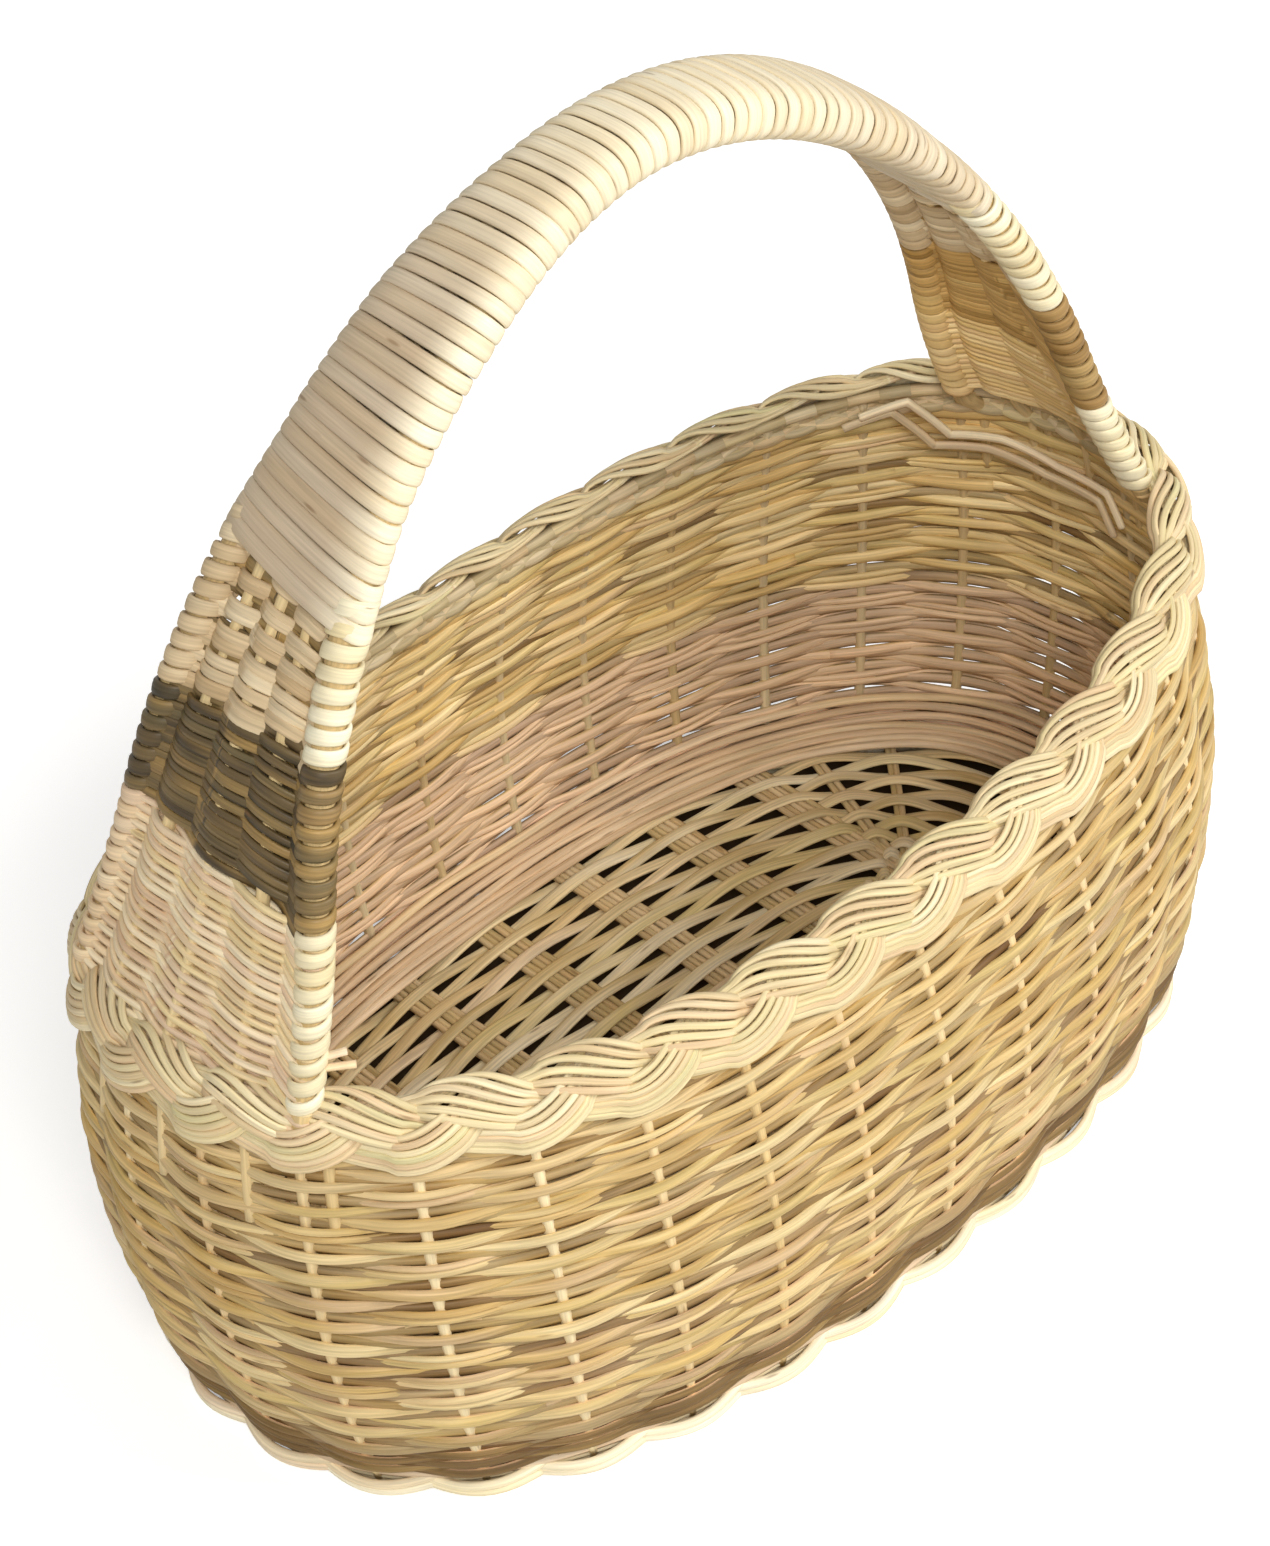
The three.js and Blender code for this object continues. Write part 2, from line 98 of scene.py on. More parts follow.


# Matt white studio paper: it shows a soft shadow, and the camera sees it a little lighter than it is lit.
# Right under the basket it is painted deep brown inside the oval |x/a|^p + |y/b|^p = 1, a painted shade so that
# the slits of the base look into the dark. Its fibre is drawn coarse, at 2.5 mm, so that the grain shows at all.
studio_paper, tree = new_tree("matt_white_studio_paper")
at = add(tree, "TexCoord", out="Object")
fibre = add(tree, "TexNoise", {"Vector": at, "Scale": 1 / PAPER_FIBRE, "Detail": 2.0})
spot = add(tree, "Mapping", {"Vector": at, "Location": (*SHADE_SHIFT, 0),
                             "Scale": (1 / SHADE_HALF[0], 1 / SHADE_HALF[1], 0)})
spot = add(tree, "VectorMath", {0: spot}, operation="ABSOLUTE")
spot = add(tree, "VectorMath", {0: spot, 1: (OVAL_POWER, OVAL_POWER, 1.0)}, operation="POWER")
round_foot = add(tree, "VectorMath", {0: spot, 1: (1.0, 1.0, 0.0)}, "Value", operation="DOT_PRODUCT")
# Painted shade: the floor colour turns deep brown inside the foot's oval.
open_floor = add(tree, "MapRange", {0: round_foot, 1: SHADE_RIM[0], 2: SHADE_RIM[1]})
sheet = add(tree, "Mix", {0: open_floor, 6: linear(FLOOR_PAINTED_SHADE), 7: linear(FLOOR_COLOUR)}, 2, data_type="RGBA")
bump = add(tree, "Bump", {"Height": fibre, "Strength": 0.05, "Distance": 0.0002})
paper = {"Base Color": sheet, "Roughness": 0.9, "Specular IOR Level": 0.2, "Normal": bump}
paper = add(tree, "BsdfPrincipled", paper)
clear = add(tree, "MapRange", {0: round_foot, 1: SHADE_RIM[0], 2: SHADE_RIM[1], 3: 0.0, 4: FLOOR_GLOW})
glow = add(tree, "Emission", {"Color": (1, 1, 1, 1), "Strength": clear})
lifted = add(tree, "AddShader", {0: paper, 1: glow})
seen = add(tree, "MixShader", {0: add(tree, "LightPath", out="Is Camera Ray"), 1: paper, 2: lifted})
add(tree, "OutputMaterial", {"Surface": seen})
floor_mesh = bpy.data.meshes.new("floor")
corners = FLOOR_HALF * np.array([[-1, -1, 0], [1, -1, 0], [1, 1, 0], [-1, 1, 0]])
floor_mesh.from_pydata(corners.tolist(), [], [(0, 1, 2, 3)])
floor_mesh.materials.append(studio_paper)
floor = bpy.data.objects.new("floor", floor_mesh)
bpy.context.collection.objects.link(floor)

# The surround is white to the eye and in reflections, and dimmer as a light.
world = bpy.data.worlds.new("white_surround")
bpy.context.scene.world = world
world.use_nodes = True
tree = world.node_tree
tree.nodes.clear()
seen = 0.0
for ray in ("Is Camera Ray", "Is Glossy Ray", "Is Transmission Ray"):
    seen = add(tree, "Math", {0: seen, 1: add(tree, "LightPath", out=ray)}, operation="MAXIMUM")
strength = add(tree, "Mix", {"Factor": seen, "A": SURROUND_STRENGTH, "B": 1.0}, "Result")
surround = add(tree, "Background", {"Color": (1, 1, 1, 1), "Strength": strength})
add(tree, "OutputWorld", {"Surface": surround})
bpy.context.scene.view_settings.view_transform = "Standard"

# Each lamp is a square: its name, place and side in metres, and power in watts. It faces LAMP_AIM.
LAMPS = [("key_lamp", (1.2, -1.9, 1.85), 0.9, 46.0), ("fill_lamp", (-1.4, -1.8, 2.3), 1.2, 58.0)]
for name, place, size, power in LAMPS:
    lamp_data = bpy.data.lights.new(name, "AREA")
    lamp_data.size = size
    lamp_data.energy = power
    lamp = bpy.data.objects.new(name, lamp_data)
    aim = unit(np.array(place) - np.array(LAMP_AIM))
    side = unit(np.cross([0.0, 0.0, 1.0], aim))
    turn = np.column_stack([side, np.cross(aim, side), aim])
    lamp.matrix_world = Matrix.Translation(place) @ Matrix(turn.tolist()).to_4x4()
    bpy.context.collection.objects.link(lamp)

# Stakes. Thirty peeled white willow rods stand upright round the wall and carry the weaving. They are
# pushed into the foot border and bent down into the plait, and show as pale steps between the weavers.
FOOT_HALF, BELLY_HALF, RIM_HALF = (205.0, 121.0), (221.0, 131.0), (210.0, 109.0)
BELLY_HEIGHT, WALL_HEIGHT, RIM_END_LIFT = 77.0, 172.0, 13.0
BAND_TOP, WALL_THICKNESS = 24.0, 9.6
MID_WALL = WALL_THICKNESS / 2
STAKES, STAKE_RADIUS, STAKE_FOOT, STAKE_TOP = 30, 2.0, 4.0, 156.0


def swell(height, foot, belly, rim):
    """The parabola in height through the sizes at the foot, the belly and the rim: each size times the product
    that is 1 at its own height and 0 at the other two."""
    low = (height - BELLY_HEIGHT) * (height - WALL_HEIGHT) / (BELLY_HEIGHT * WALL_HEIGHT)
    middle = height * (WALL_HEIGHT - height) / (BELLY_HEIGHT * (WALL_HEIGHT - BELLY_HEIGHT))
    high = height * (height - BELLY_HEIGHT) / (WALL_HEIGHT * (WALL_HEIGHT - BELLY_HEIGHT))
    return foot * low + belly * middle + rim * high


def oval(angle, half_length, half_width):
    """|x/a|^p + |y/b|^p = 1, walked by its angle: x = a r cos t, y = b r sin t."""
    c, s = np.cos(angle), np.sin(angle)
    r = (np.abs(c) ** OVAL_POWER + np.abs(s) ** OVAL_POWER) ** (-1 / OVAL_POWER)
    return half_length * r * c, half_width * r * s


# Shares of the way round are measured along the belly, where the stakes are evenly spaced.
girth_angles = np.linspace(0, 2 * np.pi, 1441)
girth_steps = np.hypot(*np.diff(oval(girth_angles, *BELLY_HALF)))
girth_shares = np.concatenate([[0], np.cumsum(girth_steps)]) / girth_steps.sum()


def wall(share, height, inset):
    """A point of the wall and its outward direction, at a share of the way round, a height and a depth
    below the outer face. The rim's ends lift by the square of x."""
    angle = np.interp(np.mod(share, 1.0), girth_shares, girth_angles)
    half_length, half_width = [swell(height, *sizes) - inset for sizes in zip(FOOT_HALF, BELLY_HALF, RIM_HALF)]
    x, y = oval(angle, half_length, half_width)
    climb = np.maximum(0, (height - BAND_TOP) / (WALL_HEIGHT - BAND_TOP))
    point = np.stack(np.broadcast_arrays(x, y, height + RIM_END_LIFT * climb * (x / RIM_HALF[0]) ** 2), -1)
    nx = np.sign(x) * np.abs(x / half_length) ** (OVAL_POWER - 1) / half_length
    ny = np.sign(y) * np.abs(y / half_width) ** (OVAL_POWER - 1) / half_width
    out = np.stack(np.broadcast_arrays(nx, ny, 0 * height), -1)
    return point, unit(out)


# The grain of each rod starts this many millimetres on from the last one's, so that no two look alike.
GRAIN_STEP = 977.0


def sweep(path, facing, wide, thick, tint, shade=1.0, sides=8, closed=False, square=1.0, back=1.0, buff=0.0):
    """Carries a profile along many paths at once: point = path + wide cos(t) side + thick sin(t) up, with
    side = along x facing and up = side x along. Cosine and sine keep their sign and take the power `square`,
    so 1 is an oval and less is a flat strip with round edges. Open rods end in a flat cut. The half that looks
    away from facing has its shade times `back`, and is buff by the share `buff`."""
    rods, stations = path.shape[:2]
    along = np.roll(path, -1, 1) - np.roll(path, 1, 1) if closed else np.gradient(path, axis=1)
    along = unit(along)
    side = unit(np.cross(along, np.broadcast_to(facing, path.shape)))
    up = np.cross(side, along)
    turn = 2 * np.pi * (np.arange(sides) + 0.5) / sides
    cosine, sine = np.cos(turn), np.sin(turn)
    wide, thick, tint, shade, buff = [np.broadcast_to(values, (rods, stations))[..., None] for values in
                                      (wide, thick, np.reshape(tint, (rods, -1)), shade, buff)]
    across = wide * np.sign(cosine) * np.abs(cosine) ** square
    rise = thick * np.sign(sine) * np.abs(sine) ** square
    points = path[:, :, None] + across[..., None] * side[:, :, None] + rise[..., None] * up[:, :, None]
    steps = np.linalg.norm(np.diff(path, axis=1), axis=-1)
    length = np.concatenate([np.zeros((rods, 1)), np.cumsum(steps, 1)], 1) + GRAIN_STEP * np.arange(rods)[:, None]
    grain = np.stack(np.broadcast_arrays(length[..., None], across, rise), -1)
    # Painted light and shade: `back` lightens the half that looks away from facing where it is over 1, and darkens
    # it where it is under 1.
    tone = np.stack(np.broadcast_arrays(tint, shade * np.where(sine < 0, back, 1.0), buff * (sine < 0)), -1)
    grid = np.arange(rods * stations * sides).reshape(rods, stations, sides)
    here, ahead = (grid, np.roll(grid, -1, 1)) if closed else (grid[:, :-1], grid[:, 1:])
    quads = np.stack([here, ahead, np.roll(ahead, -1, 2), np.roll(here, -1, 2)], -1).reshape(-1, 4)
    part = {"points": points.reshape(-1, 3), "grain": grain.reshape(-1, 3), "tone": tone.reshape(-1, 3),
            "quads": quads, "fans": np.zeros((0, 3), int)}
    if closed:
        return part
    first = np.broadcast_to((grid.size + np.arange(rods))[:, None], (rods, sides))
    last = first + rods
    start, end = grid[:, 0], grid[:, -1]
    part["fans"] = np.concatenate([np.stack([first, start, np.roll(start, -1, 1)], -1).reshape(-1, 3),
                                   np.stack([last, np.roll(end, -1, 1), end], -1).reshape(-1, 3)])
    part["points"] = np.concatenate([part["points"], path[:, 0], path[:, -1]])
    part["grain"] = np.concatenate([part["grain"], grain[:, 0].mean(1), grain[:, -1].mean(1)])
    part["tone"] = np.concatenate([part["tone"], tone[:, 0, 0], tone[:, -1, 0]])
    return part


def piece(name, parts, material, slot, *nodes):
    """Joins swept rods into one mesh in metres. The attribute grain holds the length run along the rod and the
    place across it, and tone holds the rod's place in its colours, its shade and its buff share."""
    start = np.cumsum([0] + [len(part["points"]) for part in parts])
    faces = []
    for part, first in zip(parts, start):
        faces += (part["quads"] + first).tolist() + (part["fans"] + first).tolist()
    mesh = bpy.data.meshes.new(name)
    mesh.from_pydata((np.concatenate([part["points"] for part in parts]) * 0.001).tolist(), [], faces)
    for key in ("grain", "tone"):
        values = np.concatenate([part[key] for part in parts]).astype(np.float32)
        mesh.attributes.new(key, "FLOAT_VECTOR", "POINT").data.foreach_set("vector", values.ravel())
    mesh.polygons.foreach_set("use_smooth", np.ones(len(mesh.polygons), bool))
    mesh.materials.append(material)
    made = bpy.data.objects.new(name, mesh)
    bpy.context.collection.objects.link(made)
    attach(made, "root")
    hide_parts(*nodes)


def drift(rods, at, size, waves, seed):
    """Slow wandering of hand work: a sum of sines of whole numbers of waves with random phases, one row per rod."""
    chance = np.random.default_rng(seed)
    phase = chance.uniform(0, 2 * np.pi, (rods, len(waves)))
    share = chance.uniform(0.5, 1.0, (rods, len(waves)))
    total = sum(share[:, [k]] * np.sin(2 * np.pi * wave * at + phase[:, [k]]) for k, wave in enumerate(waves))
    return size * total / len(waves)


# Willow, split or round: a satin wood with long fibres, and now and then the brown spot of a cut twig. In
# millimetres, fibres are 29 by 0.9, several times coarser than real ones so that they show, patches of
# colour are 56 by 8, and twig spots are about 33 apart. Buff is a pinkish tan.
FIBRE_SCALE, PATCH_SCALE, TWIG_SCALE = (0.035, 1.1, 1.1), (0.018, 0.12, 0.12), (0.03, 0.16, 0.16)
TWIG_SPOT, BUFF, STAIN_AND_SHADE_BROWN, FIBRE_RELIEF = "#7a5630", "#c9a98b", "#6b4a24", 0.00025


def willow(name, codes, streak=0.3, roughness=0.6, blotch=0.1, stain_and_shade_code=STAIN_AND_SHADE_BROWN):
    """Rod colours by the rod's tone, wandering a little along it, with fine grain streaks along its length. A shade
    under 1 browns the rod, a stain on some rods and painted shade on others, and one over 1 lightens it, in places
    as painted light."""
    material, tree = new_tree(name)
    tone = add(tree, "Attribute", out="Vector", attribute_name="tone")
    tint, shade, buff = add(tree, "SeparateXYZ", {0: tone}).node.outputs
    grain = add(tree, "Attribute", out="Vector", attribute_name="grain")
    fibres, patch, twigs = [add(tree, "Mapping", {"Vector": grain, "Scale": scale})
                            for scale in (FIBRE_SCALE, PATCH_SCALE, TWIG_SCALE)]
    fibres = add(tree, "TexNoise", {"Vector": fibres, "Scale": 1.0, "Detail": 4.0})
    patch = add(tree, "TexNoise", {"Vector": patch, "Scale": 1.0, "Detail": 2.0})
    shift = add(tree, "MapRange", {0: patch, 1: 0.3, 2: 0.7, 3: -blotch, 4: blotch})
    ramp = add(tree, "ValToRGB", {0: add(tree, "Math", {0: tint, 1: shift}, operation="ADD")})
    stops = ramp.node.color_ramp.elements
    for k, code in enumerate(codes):
        stop = stops[k] if k < 2 else stops.new(k / (len(codes) - 1))
        stop.position = k / (len(codes) - 1)
        stop.color = linear(code)
    value = add(tree, "MapRange", {0: fibres, 1: 0.3, 2: 0.7, 3: 1 - streak, 4: 1 + streak / 2.5})
    bright = add(tree, "Math", {0: shade, 1: 1.0}, operation="MAXIMUM")
    value = add(tree, "Math", {0: value, 1: bright}, operation="MULTIPLY")
    # The mix towards warm brown is a stain on some rods and painted shade on others.
    stain = add(tree, "Math", {0: 1.0, 1: shade}, operation="SUBTRACT", use_clamp=True)
    stained = add(tree, "Mix", {0: stain, 6: ramp, 7: linear(stain_and_shade_code)}, 2, data_type="RGBA")
    buffed = add(tree, "Mix", {0: buff, 6: stained, 7: linear(BUFF)}, 2, data_type="RGBA")
    colour = add(tree, "HueSaturation", {"Color": buffed, "Value": value})
    twigs = add(tree, "TexVoronoi", {"Vector": twigs, "Scale": 1.0})
    spot = add(tree, "MapRange", {0: twigs, 1: 0.05, 2: 0.11, 3: 0.55, 4: 0.0})
    colour = add(tree, "Mix", {0: spot, 6: colour, 7: linear(TWIG_SPOT)}, 2, data_type="RGBA")
    rough = add(tree, "MapRange", {0: fibres, 1: 0.3, 2: 0.7, 3: roughness + 0.1, 4: roughness - 0.1})
    bump = add(tree, "Bump", {"Height": fibres, "Strength": 0.4, "Distance": FIBRE_RELIEF})
    body = add(tree, "BsdfPrincipled", {"Base Color": colour, "Roughness": rough, "Normal": bump,
                                        "Specular IOR Level": 0.35})
    add(tree, "OutputMaterial", {"Surface": body})
    return material


stake_share = (np.arange(STAKES)[:, None] + 0.5) / STAKES
path, out = wall(stake_share, np.linspace(STAKE_FOOT, STAKE_TOP, 30), MID_WALL)
stake_tone = np.random.default_rng(3).uniform(0, 1, STAKES)
# Willow peeled white: smooth and pale with a faint streak. The inner half of each stake is darkened, painted shade
# inside the basket.
peeled_willow = willow("peeled_white_willow_stakes", ["#dcbf87", "#e6cd9b", "#efdcb0", "#e3c592"], streak=0.2)
upright = sweep(path, out, STAKE_RADIUS, STAKE_RADIUS, stake_tone, sides=10, back=0.72)
piece("stakes", [upright], peeled_willow, "stake", *[f"stake_{i + 1:02d}" for i in range(STAKES)])

# Foot border. Each stake's lower end is a pair of cream peeled willow rods that comes out from behind
# one stake, rolls in front of the next and goes back in behind the one after, like a rope. Three plain
# rods run round inside it and bed it.
BORDER_ROD, BORDER_SQUASH, BORDER_TUCK = 1.7, 0.95, 0.15
BORDER_OUT, BORDER_BACK = WALL_THICKNESS / 2 + 2.5 - BORDER_ROD, -3.2
BORDER_LEVEL, BORDER_STACK, BORDER_LIFT, BORDER_ROLL, BORDER_STEP = 1.9, 3.3, 1.5, 0.7, 0.6
BED_LEVELS, BED_WIDE, BED_THICK, BED_SHADE = [2.2, 5.2, 8.0], 1.9, 1.7, 0.75


def round_shares(count):
    """Shares k / n of the way round for k = 0 to n - 1, as one row."""
    return np.linspace(0, 1, count, endpoint=False)[None, :]


run = np.linspace(-BORDER_TUCK, 2 + BORDER_TUCK, 26)
first = np.repeat(np.arange(STAKES), 2)[:, None]
layer = np.tile([0.0, 1.0], STAKES)[:, None]
share = (first + 0.5 + run) / STAKES
forward = np.sin(np.pi * run / 2) ** 2
height = BORDER_LEVEL + BORDER_STACK * layer + BORDER_LIFT * (1 - forward)
height = height - BORDER_ROLL * np.sin(np.pi * run) * (layer > 0)
path, out = wall(share, height, MID_WALL)
path = path + (BORDER_BACK + (BORDER_OUT - BORDER_BACK) * forward - BORDER_STEP * layer)[..., None] * out
# Fresh peeled willow, the palest of the wall: cream, with a warmer rod here and there.
cream_codes = ["#f3deb6", "#f8ebca", "#f2e2b8", "#faf0d4", "#efd3ae"]
cream_willow = willow("cream_peeled_willow_border", cream_codes, streak=0.24)
border_tone = np.random.default_rng(5).uniform(0, 1, len(path))
border = sweep(path, out, BORDER_ROD, BORDER_ROD * BORDER_SQUASH, border_tone)
# Painted shade: the three bed rods are darkened towards brown by BED_SHADE, to stand for the shade inside the
# border.
path, out = wall(round_shares(240), np.array(BED_LEVELS)[:, None], MID_WALL)
bed = sweep(path, out, BED_WIDE, BED_THICK, [0.0, 0.5, 1.0], BED_SHADE, sides=6, closed=True)
piece("foot_border_rods", [border, bed], cream_willow, "plait", "foot_border")

# Dark band. Five thin rows of unpeeled brown willow, woven before and behind the stakes in turn and
# beaten down hard on the foot border. Inside, they and the wall's lower rows are buff.
FOOT_TOP, BAND_ROWS = 9.0, 5
WEAVE_SWING, INNER_SWING, WEAVE_TILT, ROD_TUCK = 2.7, 1.9, 0.5, 0.32
SHORT_ROD, LONG_ROD, TWIN_SIZE, TWIN_APART, ROD_BUTT, ROD_TAPER = 14, 16, 0.64, 2.05, 1.1, 0.22
BUFF_HEIGHT, BUFF_FADE, BUFF_SHARE = 73.0, 5.0, 0.8
STAIN, STAIN_MIDDLE, STAIN_REACH, PAINTED_LIGHT_REACH = 0.5, 3.0, 11.0, 50.0


def buff_rows(height):
    """The buff share of the wall's inner side: full low down, and fading out just below BUFF_HEIGHT."""
    return BUFF_SHARE * np.clip((BUFF_HEIGHT - height) / BUFF_FADE, 0, 1)


def woven_rows(rows, height, radius, seed, doubled=0.0, settle=1.0, squash=0.7, back=1.3):
    """Rods woven in and out of the stakes: depth = swing cos(pi (30 share - 1/2)), with the other sign on each
    second row, and a little higher outside than inside. A row is a short and a long rod that start and end behind
    a stake, thinner towards one end; a doubled row has two thin rods for one. The rods just over the dark band
    are stained on the outside."""
    chance = np.random.default_rng(seed)
    twin = chance.random(len(rows)) < doubled
    laid = []
    for k, number in enumerate(rows):
        lay = 1 if number % 2 else -1
        at = int(chance.integers(0, STAKES // 2)) * 2 + (1 if lay > 0 else 0)
        for begin, count in ((at, SHORT_ROD), (at + SHORT_ROD, LONG_ROD)):
            for lift in ((-0.5, 0.5) if twin[k] else (0.0,)):
                thin = radius * (TWIN_SIZE if twin[k] else 1.0) * chance.uniform(0.9, 1.08)
                laid.append((lay, height[k] + TWIN_APART * lift * thin, thin, begin, count))
    sign, level, size, start, span = np.array(laid).T[..., None]
    rods = len(sign)
    run = np.linspace(0, 1, 162)[None, :]
    share = (start + 0.5 - ROD_TUCK + run * (span + 2 * ROD_TUCK)) / STAKES
    swing = np.cos(np.pi * (STAKES * share - 0.5))
    height = level + drift(1, share, settle, (3, 5, 8), 11) + drift(rods, share, 0.28 * settle, (6, 11), seed + 1)
    depth = sign * WEAVE_SWING * swing
    depth = np.where(depth < 0, INNER_SWING / WEAVE_SWING, 1.0) * depth
    height = height + WEAVE_TILT * depth / WEAVE_SWING
    depth = depth + drift(rods, share, 0.5, (9, 14), seed + 2)
    path, out = wall(share, height, MID_WALL)
    path = path + depth[..., None] * out
    taper = np.where(np.arange(rods)[:, None] % 2 == 0, run, 1 - run)
    wide = size * (ROD_BUTT - ROD_TAPER * taper) * (1 + drift(rods, share, 0.1, (7, 13), seed + 3))
    wide = wide * (1 + 0.1 * np.abs(swing))
    tint = chance.uniform(0, 1, (rods, 1)) + drift(rods, share, 0.1, (2, 3), seed + 4)
    stain = STAIN * np.clip(1 - np.abs(level - BAND_TOP - STAIN_MIDDLE) / STAIN_REACH, 0, 1)
    shade = chance.uniform(0.76, 0.94, (rods, 1)) * (1 - stain)
    # Painted light: the inner half of each rod is lightened by `back`, by up to 0.3 more on the rows just over the
    # band, and the stain is kept off it.
    back = back * (1 + 0.3 * np.clip(1 - (level - BAND_TOP) / PAINTED_LIGHT_REACH, 0, 1)) / (1 - stain)
    return sweep(path, out, wide, wide * squash, tint, shade, back=back[..., None], buff=buff_rows(height))


def heart_rods(heights, radius, seed, settle=1.0, back=1.9):
    """Thin rods that run round in the middle of the wall between the rows, seen in the gaps beside the stakes.
    They rise and fall with the rows, and their thickness and shade wander. Their dark brown is painted shade in the
    gaps, and `back` lightens their inner half as painted light."""
    rods = len(heights)
    share = round_shares(300)
    level = heights[:, None] + drift(1, share, settle, (3, 5, 8), 11) + drift(rods, share, 0.3, (7, 12, 17), seed)
    path, out = wall(share, level, MID_WALL)
    path = path + drift(rods, share, 0.5, (9, 14, 19), seed + 1)[..., None] * out
    chance = np.random.default_rng(seed)
    shade = chance.uniform(0.2, 0.62, (rods, 1)) + drift(rods, share, 0.25, (6, 11), seed + 2)
    radius = radius * (1 + drift(rods, share, 0.14, (11, 19, 31), seed + 3))
    tint = chance.uniform(0, 1, rods)
    return sweep(path, out, radius, 1.2, tint, shade, sides=6, closed=True, back=back, buff=buff_rows(level))


BAND_ROD, BAND_HEART, BAND_HEART_LIFT = 1.6, 1.4, 1.7
band_heights = FOOT_TOP + 1.9 + (BAND_TOP - FOOT_TOP - 3.0) * np.arange(BAND_ROWS) / (BAND_ROWS - 1)
# Willow with its bark on: matt, and olive brown in dark and light rods with strong streaks.
brown_willow = willow("unpeeled_brown_willow", ["#7c6238", "#927544", "#664e2a", "#a0834c", "#82673b"], streak=0.36)
# Painted light: the band's rows and heart rods are lightened on their inner half, by `back` of 2.5 and 4.
band = [woven_rows(np.arange(BAND_ROWS), band_heights, BAND_ROD, 21, settle=0.5, squash=0.8, back=2.5),
        heart_rods(band_heights + BAND_HEART_LIFT, BAND_HEART, 23, settle=0.5, back=4.0)]
piece("dark_band_rows", band, brown_willow, "dark", "dark_band")

# Side weave. Twenty-seven rows of peeled straw-coloured willow go in front of one stake and behind
# the next, closer together towards the top. Some rows are two thin rods laid together. Thin heart rods
# fill the middle of the wall between the rows.
WEAVE_ROWS, WEAVE_ROD, WEAVE_SQUASH, DOUBLED = 27, 2.0, 0.8, 0.35
PITCH_FALL, HEART_RAISE, HEART_SIZE = 0.15, 0.4, 0.47
WEAVE_SPLIT, PLAIT_FOOT = 100.0, 150.0
row_pitch = (PLAIT_FOOT - BAND_TOP) / WEAVE_ROWS * (1 + PITCH_FALL * np.linspace(1, -1, WEAVE_ROWS))
row_heights = BAND_TOP + np.cumsum(row_pitch) - row_pitch / 2
straw_codes = ["#cba869", "#dcbf83", "#e5cb94", "#d2b775", "#dfc089", "#ead39d", "#d6b46d", "#dabb8d"]
# Peeled willow aged to straw: satin, golden in paler and browner rods, and cloudy along each rod.
straw_willow = willow("straw_peeled_willow", straw_codes, streak=0.3, blotch=0.12)
lower = row_heights < WEAVE_SPLIT
for name, slot, pick, seed in (("side_weave_lower", "weave", lower, 31),
                               ("side_weave_upper", "close_weave", ~lower, 41)):
    rows, heights, pitch = np.arange(WEAVE_ROWS)[pick] + BAND_ROWS, row_heights[pick], row_pitch[pick]
    weave = [woven_rows(rows, heights, WEAVE_ROD, seed, doubled=DOUBLED, squash=WEAVE_SQUASH),
             heart_rods(heights - pitch / 2 + HEART_RAISE, HEART_SIZE * pitch[:, None], seed + 5)]
    piece(name + "_rods", weave, straw_willow, slot, name)

# Rim plait. Three flat strands of six peeled rods each are plaited over the top of the wall, one
# step to each stake; each strand rises quickly on the outside and comes down slowly from the crest.
# The bent stake ends inside it are six thicker rods, loosely braided. They are darkened towards brown, painted shade
# where they show in its gaps, and lightened on their inner half, painted light.
STRANDS, STRAND_RODS, PLAIT_PERIODS = 3, 6, STAKES // 3
PLAIT_SWING, PLAIT_DEPTH, PLAIT_SKEW, PLAIT_MIDDLE = 7.4, 2.3, 0.2, 5.0
PLAIT_ROD, PLAIT_PITCH, PLAIT_SQUASH, PLAIT_SQUARE = 1.28, 2.14, 0.64, 0.84
STRAND_NARROW, STRAND_SPREAD, STRAND_CROWN = 0.95, 0.06, 0.6
CREST_INSET, CREST_HALF, CREST_FOOT, CREST_TOP = 4.8, 6.3, 157.5, 168.4
CORE_LEVEL, CORE_RISE, CORE_SWAY, CORE_WIDE, CORE_THICK = 155.5, 4.6, 1.5, 2.3, 2.4
CORE_TINTS, CORE_SHADES = [0.0, 0.5, 0.9, 0.3, 0.7, 0.4], [0.45, 0.32, 0.5, 0.38, 0.42, 0.3]
UPWARD = np.array([0.0, 0.0, 1.0])
bend = np.linspace(0, np.pi, 200)
crest_inset = CREST_INSET - CREST_HALF * np.cos(bend)
crest_height = CREST_FOOT + (CREST_TOP - CREST_FOOT) * np.sin(bend)
crest_arc = np.concatenate([[0], np.cumsum(np.hypot(*np.diff([crest_inset, crest_height])))])
crest_out, crest_up = np.cos(bend) / CREST_HALF, np.sin(bend) / (CREST_TOP - CREST_FOOT)
crest_norm = np.hypot(crest_out, crest_up)


def rim(share, arc, depth):
    """A point over the crest of the rim: arc runs up the outer face, over the top and down inside, on a half
    ellipse, and depth stands off it. Below the ellipse the arc goes straight down."""
    inset = np.interp(arc, crest_arc, crest_inset)
    height = np.interp(arc, crest_arc, crest_height) + np.minimum(arc, 0)
    lean_out, lean_up = [np.interp(arc, crest_arc, lean / crest_norm)[..., None] for lean in (crest_out, crest_up)]
    point, out = wall(share, height, inset)
    facing = lean_out * out + lean_up * UPWARD
    return point + depth[..., None] * facing, facing


rim_line = wall(np.linspace(0, 1, 721), 165.0, 0.0)[0]
rim_length = np.linalg.norm(np.diff(rim_line, axis=0), axis=1).sum()
strand = np.repeat(np.arange(STRANDS), STRAND_RODS)[:, None]
place = np.tile(np.arange(STRAND_RODS) - (STRAND_RODS - 1) / 2, STRANDS)[:, None]
share = round_shares(PLAIT_PERIODS * 44)
